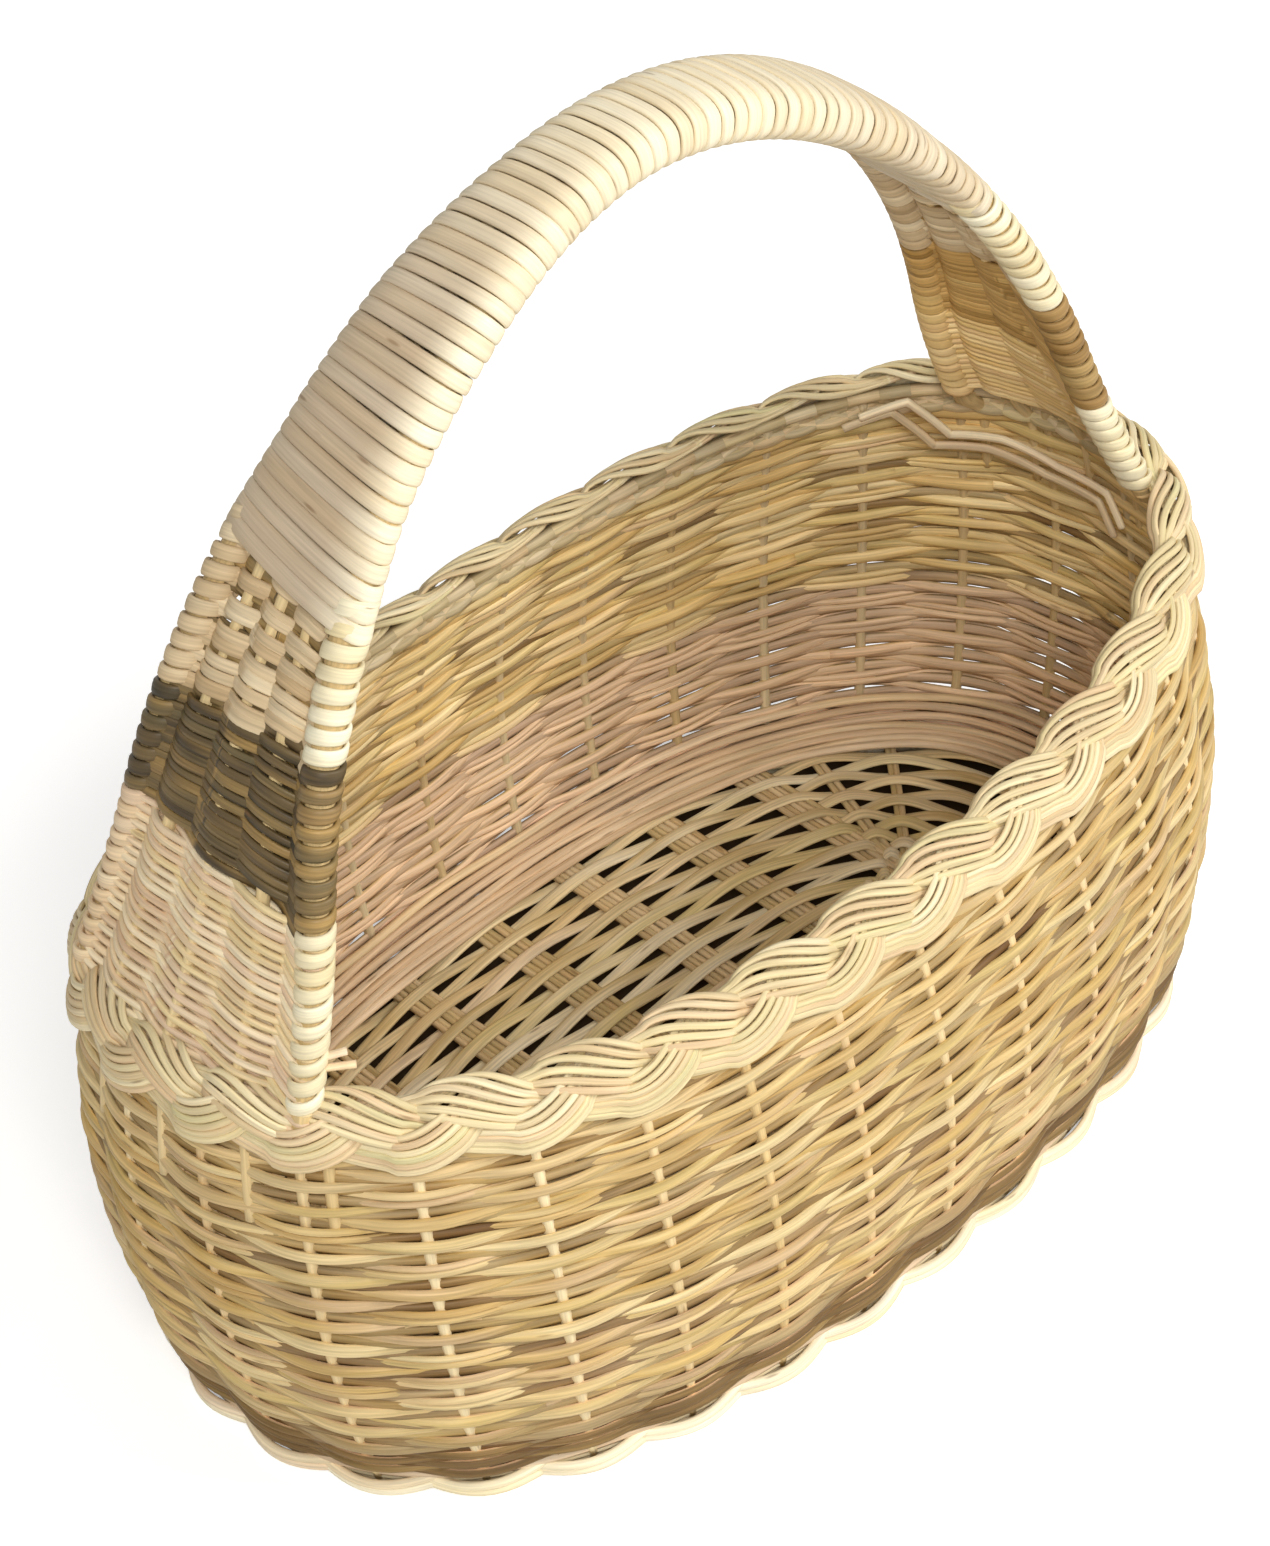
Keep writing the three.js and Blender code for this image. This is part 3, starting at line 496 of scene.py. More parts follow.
# A strand swings as sin(phase + skew sin phase), and lies over or under the others by twice that angle.
phase = 2 * np.pi * (PLAIT_PERIODS * share + strand / STRANDS)
swing = phase + PLAIT_SKEW * np.sin(phase)
over = -np.sign(np.sin(2 * swing)) * np.abs(np.sin(2 * swing)) ** 0.5
slope = PLAIT_SWING * np.cos(swing) * (1 + PLAIT_SKEW * np.cos(phase)) * 2 * np.pi * PLAIT_PERIODS / rim_length
offset = place * PLAIT_PITCH * (STRAND_NARROW + STRAND_SPREAD * over)
along = share - offset * slope / np.hypot(1, slope) / rim_length
arc = PLAIT_MIDDLE + PLAIT_SWING * np.sin(swing) + offset / np.hypot(1, slope)
depth = PLAIT_DEPTH * over + STRAND_CROWN * (1 - (2 * place / (STRAND_RODS - 1)) ** 2)
chance = np.random.default_rng(51)
leaf = np.floor((swing - np.pi / 4) / np.pi).astype(int)
leaf_tone = chance.uniform(0, 1, (len(place), leaf.max() - leaf.min() + 1))
tint = np.take_along_axis(leaf_tone, leaf - leaf.min(), 1)
path, facing = rim(along, arc, depth)
plait = sweep(path, facing, PLAIT_ROD, PLAIT_ROD * PLAIT_SQUASH, tint, closed=True, square=PLAIT_SQUARE)
share = round_shares(600)
core_rods = len(CORE_TINTS)
phase = 2 * np.pi * (STAKES * share / 2 + np.arange(core_rods)[:, None] / core_rods)
path, out = wall(share, CORE_LEVEL + CORE_RISE * np.sin(phase), CREST_INSET)
path = path + (CORE_SWAY * np.cos(2 * phase))[..., None] * out
core_shade = np.array(CORE_SHADES)[:, None]
core = sweep(path, out, CORE_WIDE, CORE_THICK, CORE_TINTS, core_shade, closed=True, back=2.1)
# Peeled white willow, a little shinier than the wall. Each leaf keeps one cream or tan.
plait_codes = ["#d6bb8e", "#e5d2a5", "#deca98", "#ecdcb3", "#dbbd92", "#dccf9b"]
plait_willow = willow("white_peeled_willow_plait", plait_codes, streak=0.26, roughness=0.55)
piece("rim_plait_strands", [plait, core], plait_willow, "plait", "rim_plait")

# Base. Flat willow weavers go round and round, over and under seven cross bundles and, at each end, one
# bundle lengthwise and four fanned sticks. They leave long dark slits between the bundles.
BASE_LEVEL, BASE_HALF = 13.8, (200.0, 113.5)
STICK_PITCH, STRAIGHT_HALF, END_MARGIN, END_CROSSINGS = 40.0, 120.0, 8.0, 6
BASE_RINGS, BASE_SWING, BASE_THICK = 20, 2.3, 0.85
# A ring crosses a bundle each 40 mm, and shares its turn round the end among the fanned sticks.
ring_inset = (BASE_HALF[1] - 1.0) * (np.arange(BASE_RINGS) + 0.45)[:, None] / BASE_RINGS
walk = round_shares(360)
turn = np.interp(walk, girth_shares, girth_angles)
ring_long = BASE_HALF[0] - ring_inset
x, y = oval(turn, ring_long, BASE_HALF[1] - ring_inset)
limit = np.minimum(STRAIGHT_HALF, ring_long - END_MARGIN)
end_share = (ring_long - np.abs(x)) / (ring_long - limit)
ends = np.sign(x) * (END_CROSSINGS - (END_CROSSINGS - limit / STICK_PITCH) * end_share)
crossing = np.where(np.abs(x) < limit, x / STICK_PITCH, ends)
parity = np.where(np.arange(BASE_RINGS)[:, None] % 2 == 0, 1.0, -1.0)
wave = parity * np.cos(np.pi * crossing)
wander = drift(BASE_RINGS, walk, 0.8, (5, 9, 14), 61)
path = np.stack([x, y + np.sin(turn) * wander, BASE_LEVEL + BASE_SWING * wave], -1)
chance = np.random.default_rng(63)
half_width = chance.uniform(2.2, 2.75, (BASE_RINGS, 1)) * (1 + drift(BASE_RINGS, walk, 0.12, (6, 11), 64))
tint = chance.uniform(0, 1, (BASE_RINGS, 1)) + drift(BASE_RINGS, walk, 0.3, (1, 2), 65)
# Split willow planed flat: pale strips whose grain catches the light unevenly.
base_codes = ["#dcc08c", "#ecd6a8", "#cdb27a", "#f6e6c2", "#dec88c", "#e8cfa8"]
base_willow = willow("flat_split_willow_base", base_codes, streak=0.32)
weavers = sweep(path, UPWARD, half_width, BASE_THICK, tint, sides=12, closed=True, square=0.6)
piece("base_weavers", [weavers], base_willow, "base", "base_weave")

# Base sticks. Each bundle is five thin round rods side by side. They run from edge to edge between the
# weavers, and a pair of rods fans out from each corner of the ends.
STICK_RODS, STICK_ROD, STICK_SPACING = 5, 1.25, 2.45
CROSS_BUNDLES, END_BUNDLE = 7, (128.0, 193.0)
FAN_FROM, FAN_MARGIN, FAN_PAIR = 130.0, 3.0, 1.3
# Round peeled sticks, duller and browner than the flat strips over them.
stick_codes = ["#d4ba88", "#c3a974", "#e0c69a", "#ccad7a"]
stick_willow = willow("round_willow_base_sticks", stick_codes, streak=0.25)
spread = (np.arange(STICK_RODS) - (STICK_RODS - 1) / 2) * STICK_SPACING


def bundle(middle, start, end, lengthwise, seed):
    """Five thin rods side by side between two places, crosswise or lengthwise, whose side and height wander."""
    chance = np.random.default_rng(seed)
    reach = np.linspace(start, end, 60)[None, :]
    side = spread[:, None] + drift(STICK_RODS, reach / 200, 0.5, (1, 2), seed)
    level = BASE_LEVEL + drift(STICK_RODS, reach / 200, 0.7, (2, 5), seed + 1)
    along, across = reach + 0 * side, middle + side
    path = np.stack([along, across, level] if lengthwise else [across, along, level], -1)
    return sweep(path, UPWARD, STICK_ROD, STICK_ROD, chance.uniform(0, 1, STICK_RODS), sides=6)


def oval_reach(x, half_length):
    """How far an oval ring of the base goes out in y at x: b (1 - (x / a)^p)^(1/p)."""
    half_width = half_length - BASE_HALF[0] + BASE_HALF[1]
    return half_width * (1 - (np.abs(x) / half_length) ** OVAL_POWER) ** (1 / OVAL_POWER)


for k in range(CROSS_BUNDLES):
    x = STICK_PITCH * (k - CROSS_BUNDLES // 2)
    reach = oval_reach(abs(x) + 6, BASE_HALF[0] + 1) - 1
    piece(f"base_cross_bundle_{k + 1}", [bundle(x, -reach, reach, False, 70 + k)], stick_willow, "stick",
          f"base_cross_stick_{k + 1}")
# A fanned stick crosses each ring at one or two thirds of the ring's way from the last bundle to its end.
fan_long = np.linspace(FAN_FROM, BASE_HALF[0] - FAN_MARGIN, 24)[None, :]
third = np.array([1, 1, 2, 2])[:, None] / 3
fan_x = STRAIGHT_HALF + third * (fan_long - STRAIGHT_HALF)
fan_y = oval_reach(fan_x, fan_long) * np.array([1, -1, 1, -1])[:, None]
pair_x = fan_x[None] + FAN_PAIR * np.array([-1, 1])[:, None, None]
for side, name in ((-1, "left"), (1, "right")):
    path = np.stack(np.broadcast_arrays(side * pair_x, fan_y[None], BASE_LEVEL), -1).reshape(-1, 24, 3)
    fan = sweep(path, UPWARD, STICK_ROD, STICK_ROD, np.linspace(0, 1, len(path)), sides=6)
    end_bundle = bundle(0.0, side * END_BUNDLE[0], side * END_BUNDLE[1], True, 80 + side)
    piece(f"base_end_bundle_{name}", [end_bundle, fan], stick_willow, "stick", f"base_end_stick_{name}")

# Base edge. Seven round rods of buff willow are woven in over the seam, from low on the wall to the rim of
# the base, before and behind the stakes in turn.
EDGE_INSETS = [0.6, 1.8, 3.4, 6.0, 9.2, 12.4, 15.6]
EDGE_HEIGHTS = [26.6, 23.4, 20.6, 18.9, 18.4, 18.4, 18.4]
EDGE_TINTS, EDGE_SHADES = [0.9, 0.4, 0.2, 0.7, 0.3, 0.8, 0.5], [1.1, 1.0, 1.06, 1.0, 1.05, 0.98, 1.04]
EDGE_RODS, EDGE_SWAY, EDGE_RISE, EDGE_WIDE, EDGE_THICK = len(EDGE_INSETS), 0.9, 0.6, 1.8, 1.5
share = round_shares(360)
insets, heights, tints, shades = np.array([EDGE_INSETS, EDGE_HEIGHTS, EDGE_TINTS, EDGE_SHADES])[..., None]
weave = np.where(np.arange(EDGE_RODS) % 2, -1.0, 1.0)[:, None] * np.cos(np.pi * (STAKES * share - 0.5))
insets = WALL_THICKNESS + insets + EDGE_SWAY * weave + drift(EDGE_RODS, share, 0.8, (5, 8, 13), 93)
heights = heights + EDGE_RISE * weave + drift(EDGE_RODS, share, 0.7, (4, 9, 17), 91)
path, out = wall(share, heights, insets)
tints = tints + drift(EDGE_RODS, share, 0.4, (2, 5), 95)
shades = shades + drift(EDGE_RODS, share, 0.14, (6, 11), 97)
# Willow boiled in its bark, which has dyed it a pinkish tan, lighter and darker along the rod.
buff_willow = willow("buff_willow_edge", ["#dbbc96", "#d0b088", "#e4c9a4", "#d6ba8e"], streak=0.28)
edge = sweep(path, UPWARD, EDGE_WIDE, EDGE_THICK, tints, shades, closed=True)
piece("base_edge_rods", [edge], buff_willow, "stick", "base_edge_rod")

# Handle bows and ribs. Two thick willow bows and three thin ribs between them run down into the wall at
# both ends. They spread from the grip, where the ribs lie on top of one another, to the width of the legs.
ARCH_RISE, ARCH_DROP, ARCH_POWER, SPREAD_POWER, BULGE_POWER = 224.0, 12.0, 1.88, 0.93, 2.2
ARCH_SHIFT, ARCH_LEAN, LEG_UNEVEN, SOCKET_UNEVEN = -2.5, 6.0, 0.1, 0.17
LEG_FLARE, LEG_FLARE_HEIGHT = 16.0, 66.0
BOW_PLACE, RIB_PLACE = 1.5, 0.84
BOW_FOOT, BOW_TOP, BOW_TIP, RIB, RIB_TIP = 3.8, 5.8, 2.1, 2.2, 2.0
SOCKET_DEPTH, RIB_STACK, STACK_FROM, STACK_OVER, BOW_GAP = 50.0, 5.0, 0.55, 0.3, 0.6
RODS = np.arange(-2, 3)
IS_BOW = np.abs(RODS) == 2
ROD_PLACES = np.array([-BOW_PLACE, -RIB_PLACE, 0.0, RIB_PLACE, BOW_PLACE])
rod_feet = wall(ROD_PLACES / STAKES, WALL_HEIGHT - ARCH_DROP, MID_WALL)[0]
HALF_SPAN, SPRING = rod_feet[0, 0] - LEG_FLARE, rod_feet[0, 2]
ARCH_HEIGHT = WALL_HEIGHT + ARCH_RISE - SPRING
grip_across = (RIB + BOW_GAP + BOW_TOP) * np.sign(RODS) * IS_BOW


def arch(turn):
    """The handle's middle line, a stretched oval |x|^p + |z|^p = 1 above the rim, with its outward direction and
    its rise from 0 at the rim to 1 at the top."""
    def place(angle):
        """A point of that oval and its rise. It leans to the right by the square of the rise."""
        c, s = np.cos(angle), np.sin(angle)
        r = (np.abs(c) ** ARCH_POWER + np.abs(s) ** ARCH_POWER) ** (-1 / ARCH_POWER)
        x = ARCH_SHIFT - HALF_SPAN * c * r + ARCH_LEAN * (s * r) ** 2
        return np.stack([x, 0 * r, SPRING + ARCH_HEIGHT * s * r], -1), s * r
    point, rise = place(turn)
    way = unit(place(np.minimum(turn + 1e-3, np.pi))[0] - place(np.maximum(turn - 1e-3, 0))[0])
    return point, np.stack([-way[..., 2], 0 * rise, way[..., 0]], -1), rise


def section(turn):
    """The five rods at each place along the arch: how far across and out from the middle line, and the radius.
    Across goes from the grip to the feet by (1 - rise)^p, and out bulges at the feet and flares at the rim."""
    point, out, rise = arch(turn)
    rise, side = rise[..., None], -np.sign(np.cos(turn))[..., None]
    down = np.maximum(0, 1 - rise)
    across = grip_across + (rod_feet[:, 1] * (1 - side * LEG_UNEVEN) - grip_across) * down ** SPREAD_POWER
    blend = np.clip((rise - STACK_FROM) / STACK_OVER, 0, 1)
    stack = np.where(IS_BOW, 0, RODS * RIB_STACK) * blend ** 2 * (3 - 2 * blend)
    flare = LEG_FLARE * np.maximum(0, 1 - ARCH_HEIGHT * rise / LEG_FLARE_HEIGHT) ** 2
    off = (rod_feet[:, 0] - rod_feet[0, 0]) * down ** BULGE_POWER + flare + stack
    radius = np.where(IS_BOW, BOW_FOOT + (BOW_TOP - BOW_FOOT) * rise, RIB)
    return point, out, across, off, radius


ACROSS = np.array([0.0, 1.0, 0.0])
turn = np.linspace(0, np.pi, 140)
point, out, across, off, radius = section(turn)
over = point[None] + across.T[..., None] * ACROSS + off.T[..., None] * out[None]
levels = np.linspace(WALL_HEIGHT - SOCKET_DEPTH, PLAIT_FOOT, 8)
left, right = [wall(ROD_PLACES[:, None] * (1 - side * SOCKET_UNEVEN) / STAKES, levels, MID_WALL)[0]
               for side in (-1, 1)]
path = np.concatenate([left * np.array([-1.0, 1.0, 1.0]), over, right[:, ::-1]], 1)
tip = np.where(IS_BOW, BOW_TIP, RIB_TIP)[:, None] + np.zeros((5, 8))
size = np.concatenate([tip, radius.T, tip], 1)
lean = np.concatenate([np.tile([-1.0, 0, 0], (8, 1)), out, np.tile([1.0, 0, 0], (8, 1))])
# Thick peeled rods, smooth, golden and nearly even in colour.
bow_willow = willow("thick_peeled_willow_bows", ["#d9bd86", "#e4cb98", "#ccae76"], streak=0.22)
for k, name in enumerate(["bow_near", "rib_near", "rib_middle", "rib_far", "bow_far"]):
    rod = sweep(path[[k]], lean, size[[k]], size[[k]], [0.2 * k], sides=12)
    piece(f"{name}_rod", [rod], bow_willow, "bow" if IS_BOW[k] else "stake", f"handle_{name}")

# Leg weave. Thin peeled willow goes across each leg in front of one rib and behind the next, turns
# round the outer bow and comes back the other way. A band of brown strips follows above, then an open
# weave of flat strips over a brown filler. Coils cover both bows.
CREST = wall(np.zeros(1), np.array([WALL_HEIGHT]), 3.2)[0][0, 2]
LEG_WEAVE, LEG_DARK, LEG_OPEN, LEG_SAG = 46.0, 44.0, 40.0, 5.0
FAR_LIFT, NEAR_LIFT, FOOT_TILT, OPEN_TILT = 8.0, 3.0, 6.0, 6.0
NEAR_BOW, FAR_BOW, RIGHT_DROP = 0, 4, 12.0
ROD_ROOT, TWIN_ROOT, COIL_ROOT, UNDER_WRAP = 14.0, 11.0, 8.0, 3.0
# Each winding has its pitch, half width and half thickness.
CLOSE_ROD, CLOSE_TWIN = (6.0, 1.32, 1.15), (6.0, 1.25, 1.1)
BAND_STRIP, BAND_TWIN, INNER_STRIP = (6.8, 1.75, 0.85), (6.8, 1.4, 0.85), (5.0, 2.3, 0.5)
OPEN_STRIP, OPEN_TWIN = (6.4, 2.3, 0.75), (7.3, 1.9, 0.75)
PALE_COIL, OPEN_COIL, BROWN_COIL = (5.2, 2.5, 0.95), (5.2, 2.5, 0.9), (5.0, 2.4, 0.95)
leg_turns = np.linspace(0, np.pi / 2, 600)
leg_heights = arch(leg_turns)[0][:, 2]


def at_level(side, level):
    """The rods of one leg where the arch has risen to a level; side is -1 for the left leg and 1 for the right."""
    turn = np.interp(level, leg_heights, leg_turns)
    return section(turn if side < 0 else np.pi - turn)


def leg_round(side, low, high, pitch, wide, thick, seed, flatten=0.0, square=0.7, tilt=(0.0, 0.0), shade=1.0):
    """A rod wound up a leg: depth = (radius + thickness) cos(pi i) over the rods i = 0 to 4, the other sign on the
    way back, and half a circle in each bow between the two. The far side is higher by a tilt that goes from its
    low to its high value, and the rods sweep down into the near bow. Depth shrinks by `flatten` towards the
    middle rib."""
    rounds = (high - low) / pitch
    step = np.linspace(0, rounds, int(rounds * 76) + 1)
    part = step % 1
    going, back = part < 0.4, (part >= 0.5) & (part < 0.9)
    i = np.select([going, part < 0.5, back], [part / 0.1, 4.0, 4 - (part - 0.5) / 0.1], 0.0)
    level = low + pitch * step + np.interp(step, [0, rounds], tilt) * i / 4 - LEG_SAG * np.maximum(0, 1 - i) ** 1.5
    point, out, across, off, radius = at_level(side, level)
    face = np.select([going, part < 0.5, back], [0.5, 0.5 - (part - 0.4) / 0.1, -0.5], -0.5 - (part - 0.9) / 0.1)
    face = face * np.pi
    k = np.clip(np.floor(i), 0, 3).astype(int)[:, None]
    f = i - k[:, 0]
    pick = [np.take_along_axis(v, k, 1)[:, 0] * (1 - f) + np.take_along_axis(v, k + 1, 1)[:, 0] * f
            for v in (across, off, radius)]
    reach = (pick[2] + thick) * np.interp(np.minimum(i, 4 - i), [0, 0.6], [0.62, 1.0])
    crossing = reach * (1 - flatten * np.sin(np.pi * i / 4)) * np.cos(np.pi * i)
    wrap = ~(going | back)
    y = pick[0] + np.where(wrap, reach * np.cos(face), 0)
    z = pick[1] + np.select([going, back], [crossing, -crossing], reach * np.sin(face))
    path = point + y[:, None] * ACROSS + z[:, None] * out
    facing = np.cos(face)[:, None] * ACROSS + np.sin(face)[:, None] * out
    chance = np.random.default_rng(seed)
    tones = chance.uniform(0, 1, int(2 * rounds) + 3)
    tint = tones[np.floor(2 * step + 0.55).astype(int)]
    size = wide * (1 + 0.14 * np.sin(step * 2.3 + seed))
    return sweep(path[None], facing[None], size[None], thick, tint[None], shade, sides=10, square=square)


def bow_turns(side, end, low, high, pitch, wide, thick, seed, shade=1.0):
    """A strip wound round one bow in whole turns: it stands off the bow's middle by its radius and the strip's
    thickness, and its ends are turned away from the other leg."""
    turns = int(round((high - low) / pitch))
    step = np.linspace(0, turns, turns * 22 + 1)
    point, out, across, off, radius = at_level(side, low + (high - low) * step / turns)
    angle = 2 * np.pi * step[:, None] + side * np.pi / 2
    facing = np.cos(angle) * ACROSS + np.sin(angle) * out
    path = point + across[:, [end]] * ACROSS + off[:, [end]] * out + (radius[:, [end]] + thick) * facing
    chance = np.random.default_rng(seed)
    tint = chance.uniform(0, 1, int(turns) + 2)[np.floor(step).astype(int)]
    size = wide * (1 + 0.1 * np.sin(step * 2.9 + seed))
    return sweep(path[None], facing[None], size[None], thick, tint[None], shade, sides=10, square=0.7)


weave_low, weave_high = CREST, CREST + LEG_WEAVE
dark_high = weave_high + LEG_DARK
open_high = dark_high + LEG_OPEN
# Thin peeled rods: cream to pinkish on the left leg, and golden and a little browner on the right.
leg_codes = ["#e2c59c", "#efd7ae", "#dcbb96", "#f4e2bc", "#e2c4a2", "#ead29e"]
golden_codes = ["#d9b878", "#e4c88e", "#cfac6c", "#e9cf98", "#dbb984", "#d4b474"]
leg_willow = willow("thin_peeled_willow_leg_weave", leg_codes, streak=0.26)
golden_willow = willow("thin_golden_willow_leg_weave", golden_codes, streak=0.26)
# Willow with its bark on: olive to nearly black with a dull shine on the left, and golden brown on the right.
dark_codes = ["#4a3c26", "#7d673f", "#37301f", "#8f7346", "#5d5236", "#a5854e", "#453822", "#6f5b38"]
dark_strip = willow("brown_willow_leg_band", dark_codes, streak=0.4, roughness=0.5)
# Flat strips of peeled willow: tan in the open weave, and cream in the coils round the near bow.
open_codes = ["#d3b88e", "#e2cba4", "#c6a97e", "#ead6b0"]
open_willow = willow("flat_peeled_willow_strips", open_codes, streak=0.26)
coil_willow = willow("cream_peeled_willow_coils", ["#e9dab0", "#f2e7c6", "#e2d0a2", "#f4ecce"], streak=0.2)
golden_strip = willow("golden_brown_willow_leg_band", ["#b08a4e", "#caa464", "#9c783e", "#d8b674"], streak=0.36)
# Painted light: the right leg's rods and far bow coils are lightened by a shade of 1.22.
for side, name, fine_willow, brown_strip, drop, painted_light in (
        (-1, "left", leg_willow, dark_strip, 0.0, 1.0),
        (1, "right", golden_willow, golden_strip, RIGHT_DROP, 1.22)):
    near_low, near_high = weave_high - drop, dark_high + NEAR_LIFT - drop
    far_low, far_high = near_low + FAR_LIFT, near_high - NEAR_LIFT
    tilt = (FOOT_TILT, FAR_LIFT)
    close = [leg_round(side, weave_low - ROD_ROOT, near_low, *CLOSE_ROD, 101 + side, 0.5, 0.9, tilt, painted_light),
             leg_round(side, weave_low - TWIN_ROOT, near_low, *CLOSE_TWIN, 103 + side, 0.5, 0.9, tilt, painted_light),
             bow_turns(side, FAR_BOW, weave_low - COIL_ROOT, far_low, *PALE_COIL, 113 + side, painted_light)]
    piece(f"leg_weave_{name}_rods", close, fine_willow, "close_weave", f"leg_weave_{name}")
    tilt, open_tilt = (FAR_LIFT, -NEAR_LIFT), (-NEAR_LIFT, OPEN_TILT)
    # Painted shade: the inner strips are a dark brown filler in the middle of the leg that darkens the holes of the
    # open weave; their shade is 1.7 on the left and 0.9 on the right.
    inner_shade, coil_shade = 1.3 - 0.4 * side, 0.86 - 0.29 * side
    dark = [leg_round(side, near_low, near_high, *BAND_STRIP, 105 + side, 0.35, 0.6, tilt, painted_light),
            leg_round(side, near_low + 3.1, near_high, *BAND_TWIN, 107 + side, 0.35, 0.6, tilt, painted_light),
            leg_round(side, near_high - 1, open_high, *INNER_STRIP, 127 + side, 1.0, 0.6, open_tilt, inner_shade),
            bow_turns(side, NEAR_BOW, near_low, near_high, *BROWN_COIL, 115 + side, coil_shade),
            bow_turns(side, FAR_BOW, far_low, far_high, *BROWN_COIL, 117 + side, painted_light)]
    piece(f"leg_dark_band_{name}_strips", dark, brown_strip, "dark", f"leg_dark_band_{name}")
    twin_tilt = (2 - NEAR_LIFT, OPEN_TILT)
    flat = [leg_round(side, near_high, open_high + UNDER_WRAP, *OPEN_STRIP, 109 + side, 0.3, 0.55, open_tilt),
            leg_round(side, near_high + 2, open_high + UNDER_WRAP, *OPEN_TWIN, 125 + side, 0.2, 0.7, twin_tilt),
            bow_turns(side, FAR_BOW, far_high, open_high + 11, *OPEN_COIL, 123 + side)]
    piece(f"leg_open_weave_{name}_strips", flat, open_willow, "weave", f"leg_open_weave_{name}")
    coils = [bow_turns(side, NEAR_BOW, weave_low - COIL_ROOT, near_low, *PALE_COIL, 111 + side),
             bow_turns(side, NEAR_BOW, near_high, open_high + 5, *OPEN_COIL, 119 + side)]
    piece(f"leg_near_coils_{name}", coils, coil_willow, "close_weave", f"leg_weave_{name}", f"leg_open_weave_{name}")

# Loose rod ends. Three cut ends of the winding stick out at the foot of the left leg's near bow, and
# two pinkish rods of the right leg run on in zigzags inside the wall, tucked in under the plait.
TUFT_LEVELS, TUFT_REACH = [1.0, 3.5, 6.0], [[3.6, -3.3, 0.6], [11.0, -9.4, 0.3], [9.0, -7.4, 2.4]]
ZIGZAG_SHARES = [0.0836, 0.0662, 0.0561, 0.0513, 0.0311, 0.0074, -0.018, -0.024]
ZIGZAG_HEIGHTS = [157.0, 161.5, 149.6, 143.6, 144.3, 140.2, 141.4, 130.0]
ZIGZAG_INSET, ZIGZAG_LAG, ZIGZAG_DROP = 13.4, 0.006, 3.8
TUFT_SIZE, ZIGZAG_SIZE = (1.5, 1.1), (1.7, 1.3)
point, out, across, off, radius = at_level(-1, CREST + np.array(TUFT_LEVELS))
from_bow = point + across[:, [NEAR_BOW]] * ACROSS + off[:, [NEAR_BOW]] * out
path = from_bow[:, None] + np.linspace(0.2, 1, 5)[None, :, None] * np.array(TUFT_REACH)[:, None]
tuft = sweep(path, UPWARD, *TUFT_SIZE, tint=[0.6, 0.9, 0.75], shade=1.1)
piece("leg_loose_ends_left", [tuft], leg_willow, "close_weave", "leg_weave_left")
at = np.linspace(0, 1, 120)
bends = np.linspace(0, 1, len(ZIGZAG_SHARES))
second = np.array([[0.0], [1.0]])
share = np.interp(at, bends, ZIGZAG_SHARES) + ZIGZAG_LAG * second
height = np.interp(at, bends, ZIGZAG_HEIGHTS) - ZIGZAG_DROP * second * (1 + at)
path, out = wall(share, height, ZIGZAG_INSET)
zigzag = sweep(path, out, *ZIGZAG_SIZE, tint=[0.65, 0.2], shade=np.array([[1.12], [0.84]]))
piece("leg_loose_ends_right", [zigzag], leg_willow, "close_weave", "leg_weave_right")

# Handle wrap. Flat peeled willow skein is wound tightly round the bows and ribs over the whole grip, each
# turn a little over the last, so that the joints show as fine dark steps. The turns slant over the left leg.
WRAP_PITCH, WRAP_HALF, WRAP_THICK, WRAP_POWER, WRAP_CLEAR = 5.5, 2.85, 1.05, 2.9, 1.5
WRAP_SLANT, SLANT_OVER, OVERLAP_LEAN = 7.0, 0.3, 0.14
SHOULDER_AT, SHOULDER = [40, 51, 58, 66, 80], [0.0, -1.6, -0.8, 0.7, 0.0]
FLANK_PAINTED_SHADE, FLANK_AT, FLANK_FADE = 0.46, 88.0, 24.0
FAR_PAINTED_SHADE, FAR_AT, FAR_FADE = 0.24, 105.0, 20.0
wrap_from = np.interp(open_high, leg_heights, leg_turns)
fine = np.linspace(wrap_from - 0.1, np.pi - wrap_from, 2000)
fine_points = arch(fine)[0]
fine_length = np.concatenate([[0], np.cumsum(np.linalg.norm(np.diff(fine_points, axis=0), axis=1))])
fine_length = fine_length - np.interp(wrap_from, fine, fine_length)
wraps = int(round(fine_length[-1] / WRAP_PITCH))
step = np.linspace(0, wraps, wraps * 44 + 1)
angle = 2 * np.pi * step - np.pi / 2
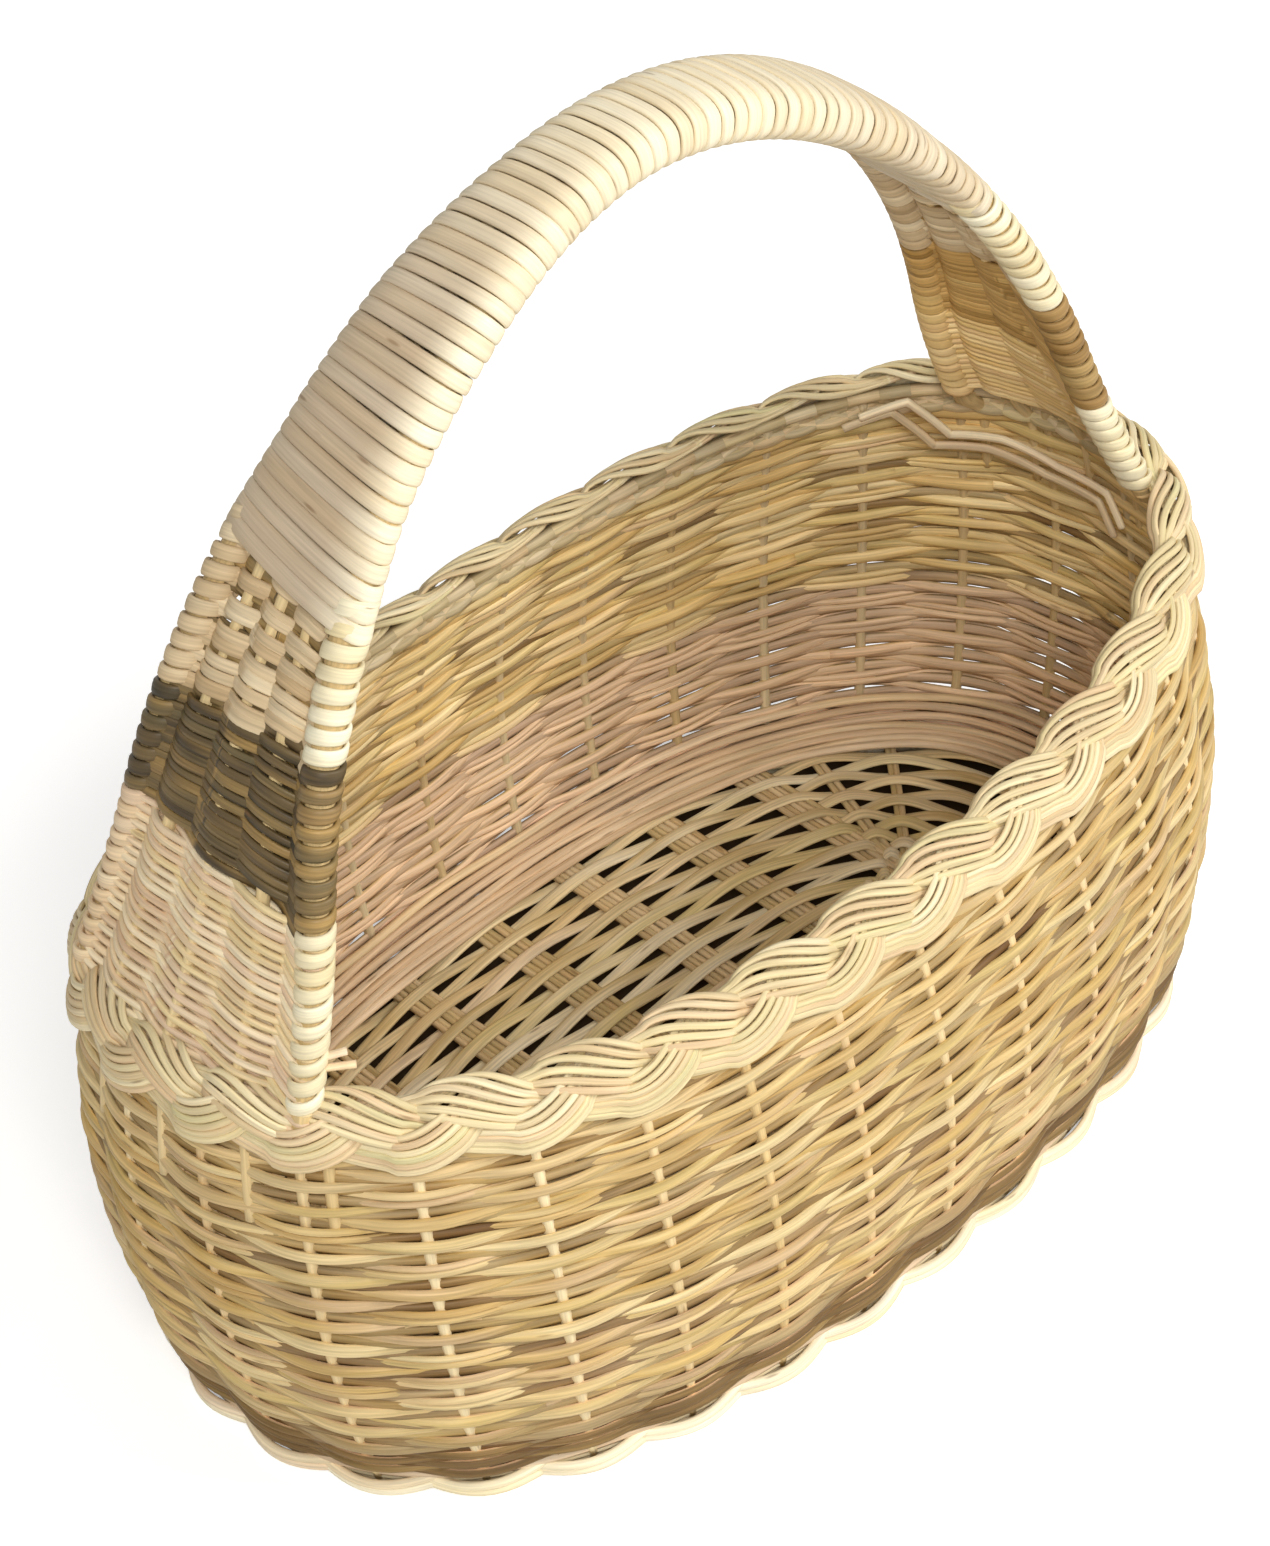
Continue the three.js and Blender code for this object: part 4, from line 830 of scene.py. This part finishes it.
# A turn follows the rounded box |y/a|^p + |z/b|^p = 1 round the rods, and faces straight out of it.
c, s = np.cos(angle), np.sin(angle)
r = (np.abs(c) ** WRAP_POWER + np.abs(s) ** WRAP_POWER) ** (-1 / WRAP_POWER)
slant = WRAP_SLANT * np.clip(1 - step / wraps / SLANT_OVER, 0, 1)
turn = np.interp(step / wraps * fine_length[-1] + slant * r * c, fine_length, fine)
point, out, across, off, radius = section(turn)
degrees = np.degrees(turn)
shoulder = np.interp(degrees, SHOULDER_AT, SHOULDER)
half_across = across[:, FAR_BOW] + radius[:, FAR_BOW] + WRAP_CLEAR + shoulder
half_thick = np.maximum(radius[:, FAR_BOW], off[:, 3] - off[:, 2] + RIB) + WRAP_CLEAR
y = half_across * r * c
bulge = off[:, 2] * (1 - (y / half_across) ** 2)
z = half_thick * r * s + bulge
path = point + y[:, None] * ACROSS + z[:, None] * out
flat_y = np.sign(c) * np.abs(r * c) ** (WRAP_POWER - 1) / half_across
flat_z = np.sign(s) * np.abs(r * s) ** (WRAP_POWER - 1) / half_thick
norm = np.hypot(flat_y, flat_z)
facing = (flat_y / norm)[:, None] * ACROSS + (flat_z / norm)[:, None] * out + OVERLAP_LEAN * np.cross(ACROSS, out)
chance = np.random.default_rng(121)
winding = np.floor(step).astype(int)
tint = chance.uniform(0, 1, wraps + 2)[winding]
# Painted shade: the outer flank is darkened towards a warm brown over the left leg, mostly towards the far bow, and
# the whole wrap over the right.
flank = np.clip(flat_z / norm, 0, 1) ** 2 * np.clip(2.0 * (y / half_across + 1.0), 0, 1)
dull = FLANK_PAINTED_SHADE * np.clip((FLANK_AT - degrees) / FLANK_FADE, 0, 1) * flank
dull = dull + FAR_PAINTED_SHADE * np.clip((degrees - FAR_AT) / FAR_FADE, 0, 1)
shade = chance.uniform(0.96, 1.03, wraps + 2)[winding] * (1 - dull)
# Skein is willow shaved to a thin flat ribbon: the smoothest and palest piece, cream with a soft sheen.
wrap_codes = ["#eeddb8", "#f2e4c4", "#ead8b2", "#f4e8ca", "#eedfbc"]
# The warm brown here is the colour of the wrap's painted shade.
skein = willow("peeled_willow_skein", wrap_codes, streak=0.16, roughness=0.5, stain_and_shade_code="#85542e")
width = WRAP_HALF * (1 + 0.08 * np.sin(step * 1.7))
wound = sweep(path[None], facing[None], width[None], WRAP_THICK, tint[None], shade[None], sides=12, square=0.72)
piece("handle_wrap_skein", [wound], skein, "wrap", "handle_wrap")
